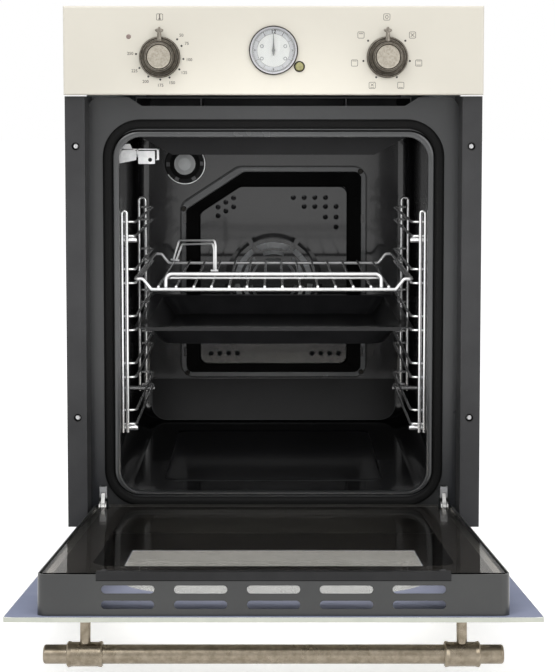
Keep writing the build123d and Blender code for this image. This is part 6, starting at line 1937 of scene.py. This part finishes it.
@dataclass
class Casing:
    """Front frame, side trims, hinges, sheet-metal casing and what it holds."""

    rear: float = 550.0
    half: float = 205.0
    sides: tuple[tuple[int, str], ...] = ((-1, "casing_side_left"), (1, "casing_side_right"))
    trim_screws: tuple[Flat, ...] = ((-213.0, 150.2), (-213.0, 445.3), (213.0, 150.2),
                                     (213.0, 445.3))
    trim_face: float = 9.9
    # Radius and height of the screws' heads, and width of their recess
    trim_screw: Point = (2.4, 1.32, 0.624)
    casing_screw: Point = (3.8, 2.09, 0.988)
    rim_profile: tuple[Flat, ...] = ((2.5, 10.5), (2.6, 9.2), (3.6, 9.1), (4.2, 9.6), (4.3, 10.5))
    side_depths: tuple[float, ...] = (60.0, 540.0)
    screw_rows: tuple[float, ...] = (14.0, 200.0, 390.0, 574.0)
    rear_columns: tuple[float, ...] = (-197.0, 197.0)
    bead: float = 3.0
    bead_height: float = 1.4
    bead_bend: float = 18.0
    side_beads: tuple[Extent, ...] = ((110, 500, 60, 240),
                                                                 (110, 500, 270, 450))
    rear_beads: tuple[Extent, ...] = ((-170, -20, 150, 440),
                                                                 (20, 170, 150, 440))

    def build(self) -> None:
        """Dress the body and add the casing's beads and screws."""
        dress(FRAME_GREY, "front_frame")
        # The cooling fan housing sits in the air gap behind the panel; its dark trim finish is
        # painted shade
        dress(TRIM_BLACK_AND_GAP_SHADE, "side_trim_left", "side_trim_right", "cooling_fan_housing")
        dress(SEAL_BLACK, "door_gasket")
        dress(BLACK_PLASTIC, "terminal_block")
        # The ferrules take the near-black as painted shade in their recesses
        dress(SHADE_BLACK, "trim_ferrules")
        dress(LATCH_STEEL, "hinge_latch_left", "hinge_latch_right")
        dress(HINGE_STEEL, "hinge_arms", "hinge_receivers")
        dress(ZINC, "base_pan", "casing_side_left", "casing_side_right", "casing_rear",
              "casing_top", "cooling_fan_motor")
        dress(ALUMINIUM, "cooling_fan_rotor")
        dress(WOOL, "insulation")
        self.build_trim_screws()
        self.build_screws()
        self.build_beads()

    def build_trim_screws(self) -> None:
        """Add the bright screws in the trims, and near-black rims round their heads, painted shade
        of the recess they sit in.
        """
        RECIPES.screw("trim_screws", [(x, self.trim_face, z) for x, z in self.trim_screws],
                      (0, -1, 0), self.trim_screw, PLATE_BRIGHT, "trim_ferrules")
        rims = Shape()
        for x, z in self.trim_screws:
            rims.turned(self.rim_profile, x, z, 40)
        rims.piece("trim_screw_rims", SHADE_BLACK, "trim_ferrules")

    def build_screws(self) -> None:
        """Set the screws that close the casing."""
        for side, node in self.sides:
            places = [(side * self.half, depth, z) for depth in self.side_depths
                      for z in self.screw_rows]
            RECIPES.screw(node + "_screws", places, (side, 0, 0), self.casing_screw,
                          BRIGHT_STEEL, node)
        places = [(x, self.rear, z) for x in self.rear_columns for z in self.screw_rows]
        RECIPES.screw("casing_rear_screws", places, (0, 1, 0), self.casing_screw, BRIGHT_STEEL,
                      "casing_rear")

    def build_beads(self) -> None:
        """Press stiffening beads into the sides and the rear."""
        sunk = self.bead - self.bead_height
        for side, node in self.sides:
            x = side * (self.half - sunk)
            self.press(node, [[(x, depth, z) for depth, z in self.bead_path(bead)]
                              for bead in self.side_beads])
        self.press("casing_rear", [[(x, self.rear - sunk, z) for x, z in self.bead_path(bead)]
                                   for bead in self.rear_beads])

    def bead_path(self, bead: Extent) -> list[Flat]:
        """Closed path of a bead along its rectangle, from the lower left corner."""
        corners = rectangle(*bead)
        return corners[2:] + corners[:3]

    def press(self, node: str, paths: Sequence[Sequence[Point]]) -> None:
        """Press beads into a panel along closed paths."""
        RECIPES.bend(node + "_beads", paths, self.bead, self.bead_bend, 20, 8, ZINC, node)


# -------- studio


@dataclass
class Studio:
    """Camera at the photograph's angle, soft lamps, white surroundings and pale floor."""

    distance: float = 1.7314
    eye_height: float = 0.4892
    focal: float = 86.61
    sensor: float = 36.0
    shift_x: float = 0.0059
    shift_y: float = -0.18
    tilt: float = 3.88
    surround: float = 0.55
    floor_size: float = 20.0
    floor_tone: float = 0.86
    floor_glow: float = 0.62
    floor_through: float = 0.66
    spot_power: float = 130.0
    spot_angle: float = 12.5
    spot_blend: float = 0.35
    spot_size: float = 0.12
    # Name, place, target, size and power of the soft lamps
    lamps: tuple[tuple[str, Point, Point, float, float], ...] = (
        ("key", (-1.3, -2.6, 2.2), (0.0, -0.2, 0.25), 1.6, 26.0),
        ("fill", (1.6, -2.4, 1.2), (0.0, -0.2, 0.3), 1.6, 16.0),
        ("top", (0.0, -0.6, 2.4), (0.0, -0.3, 0.2), 1.8, 14.0))

    def build(self) -> None:
        """Build the whole set."""
        self.build_camera()
        self.build_world()
        self.build_floor()
        for name, place, target, size, power in self.lamps:
            data = bpy.data.lights.new(name, "AREA")
            data.shape = "SQUARE"
            data.size = size
            data.energy = power
            self.hang(data, place, target)
        self.build_spot()

    def hang(self, data: bpy.types.Light, place: Point, target: Point) -> Item:
        """Hang a light that faces a target.

        Args:
            data: The light.
            place: Where it hangs, in metres.
            target: What it faces.

        Returns:
            Its object.
        """
        holder = bpy.data.objects.new(data.name, data)
        holder.location = place
        aim = Vector(target) - Vector(place)
        holder.rotation_euler = aim.to_track_quat("-Z", "Y").to_euler()
        bpy.context.scene.collection.objects.link(holder)
        return holder

    def build_camera(self) -> None:
        """Place the camera in front of the oven at the height of the panel's foot."""
        data = bpy.data.cameras.new("camera")
        data.lens = self.focal
        data.sensor_width = self.sensor
        data.shift_x = self.shift_x
        data.shift_y = self.shift_y
        camera = bpy.data.objects.new("camera", data)
        camera.location = (0.0, -self.distance - ORIGIN_DEPTH * MM, self.eye_height)
        camera.rotation_euler = (math.radians(90 - self.tilt), 0.0, 0.0)
        bpy.context.scene.collection.objects.link(camera)
        bpy.context.scene.camera = camera

    def build_world(self) -> None:
        """Make the surroundings white to the eye and in reflections, and softer as a light."""
        world = bpy.data.worlds.new("surroundings")
        bpy.context.scene.world = world
        sheet = shading(world)
        seen, _ = sheet.seen_directly()
        soft, white = (sheet.add("ShaderNodeBackground", {"Color": (1, 1, 1, 1),
                                                          "Strength": strength}).outputs[0]
                       for strength in (self.surround, 1.0))
        mixed = sheet.add("ShaderNodeMixShader", {0: seen, 1: soft, 2: white})
        sheet.add("ShaderNodeOutputWorld", {"Surface": mixed.outputs[0]})

    def build_floor(self) -> None:
        """Lay a wide pale floor under the oven."""
        bm = bmesh.new()
        bmesh.ops.create_grid(bm, x_segments=1, y_segments=1, size=self.floor_size)
        mesh = bpy.data.meshes.new("floor")
        bm.to_mesh(mesh)
        bm.free()
        floor = bpy.data.objects.new("floor", mesh)
        bpy.context.scene.collection.objects.link(floor)
        material = bpy.data.materials.new("pale_floor")
        sheet = shading(material)
        seen, through = sheet.seen_directly()
        tone = self.floor_tone
        pale = sheet.add("ShaderNodeBsdfDiffuse", {"Color": (tone, tone, tone, 1.0)}).outputs[0]
        strength = sheet.spread(through, 0.0, 1.0, self.floor_glow, self.floor_through)
        glow = sheet.add("ShaderNodeEmission", {"Color": (1, 1, 1, 1), "Strength": strength})
        lit = sheet.add("ShaderNodeAddShader", {0: pale, 1: glow.outputs[0]})
        both = sheet.add("ShaderNodeMixShader", {0: seen, 1: pale, 2: lit.outputs[0]})
        sheet.add("ShaderNodeOutputMaterial", {"Surface": both.outputs[0]})
        mesh.materials.append(material)

    def build_spot(self) -> None:
        """Light the inside of the cavity softly through its mouth."""
        data = bpy.data.lights.new("cavity", "SPOT")
        data.energy = self.spot_power
        data.spot_size = math.radians(self.spot_angle)
        data.spot_blend = self.spot_blend
        data.shadow_soft_size = self.spot_size
        holder = self.hang(data, (0.0, -2.0, 0.42), (0.0, 0.1, 0.275))
        holder.visible_glossy = False


def main() -> None:
    """Build the set and the oven; each new piece is logged with its count of faces."""
    logging.basicConfig(level=logging.INFO)
    bpy.context.scene.view_settings.view_transform = "Standard"
    Studio().build()
    for assembly in (ControlPanel(), Cavity(), Bakeware(), Door(), Casing()):
        assembly.build()


if __name__ == "__main__":
    main()
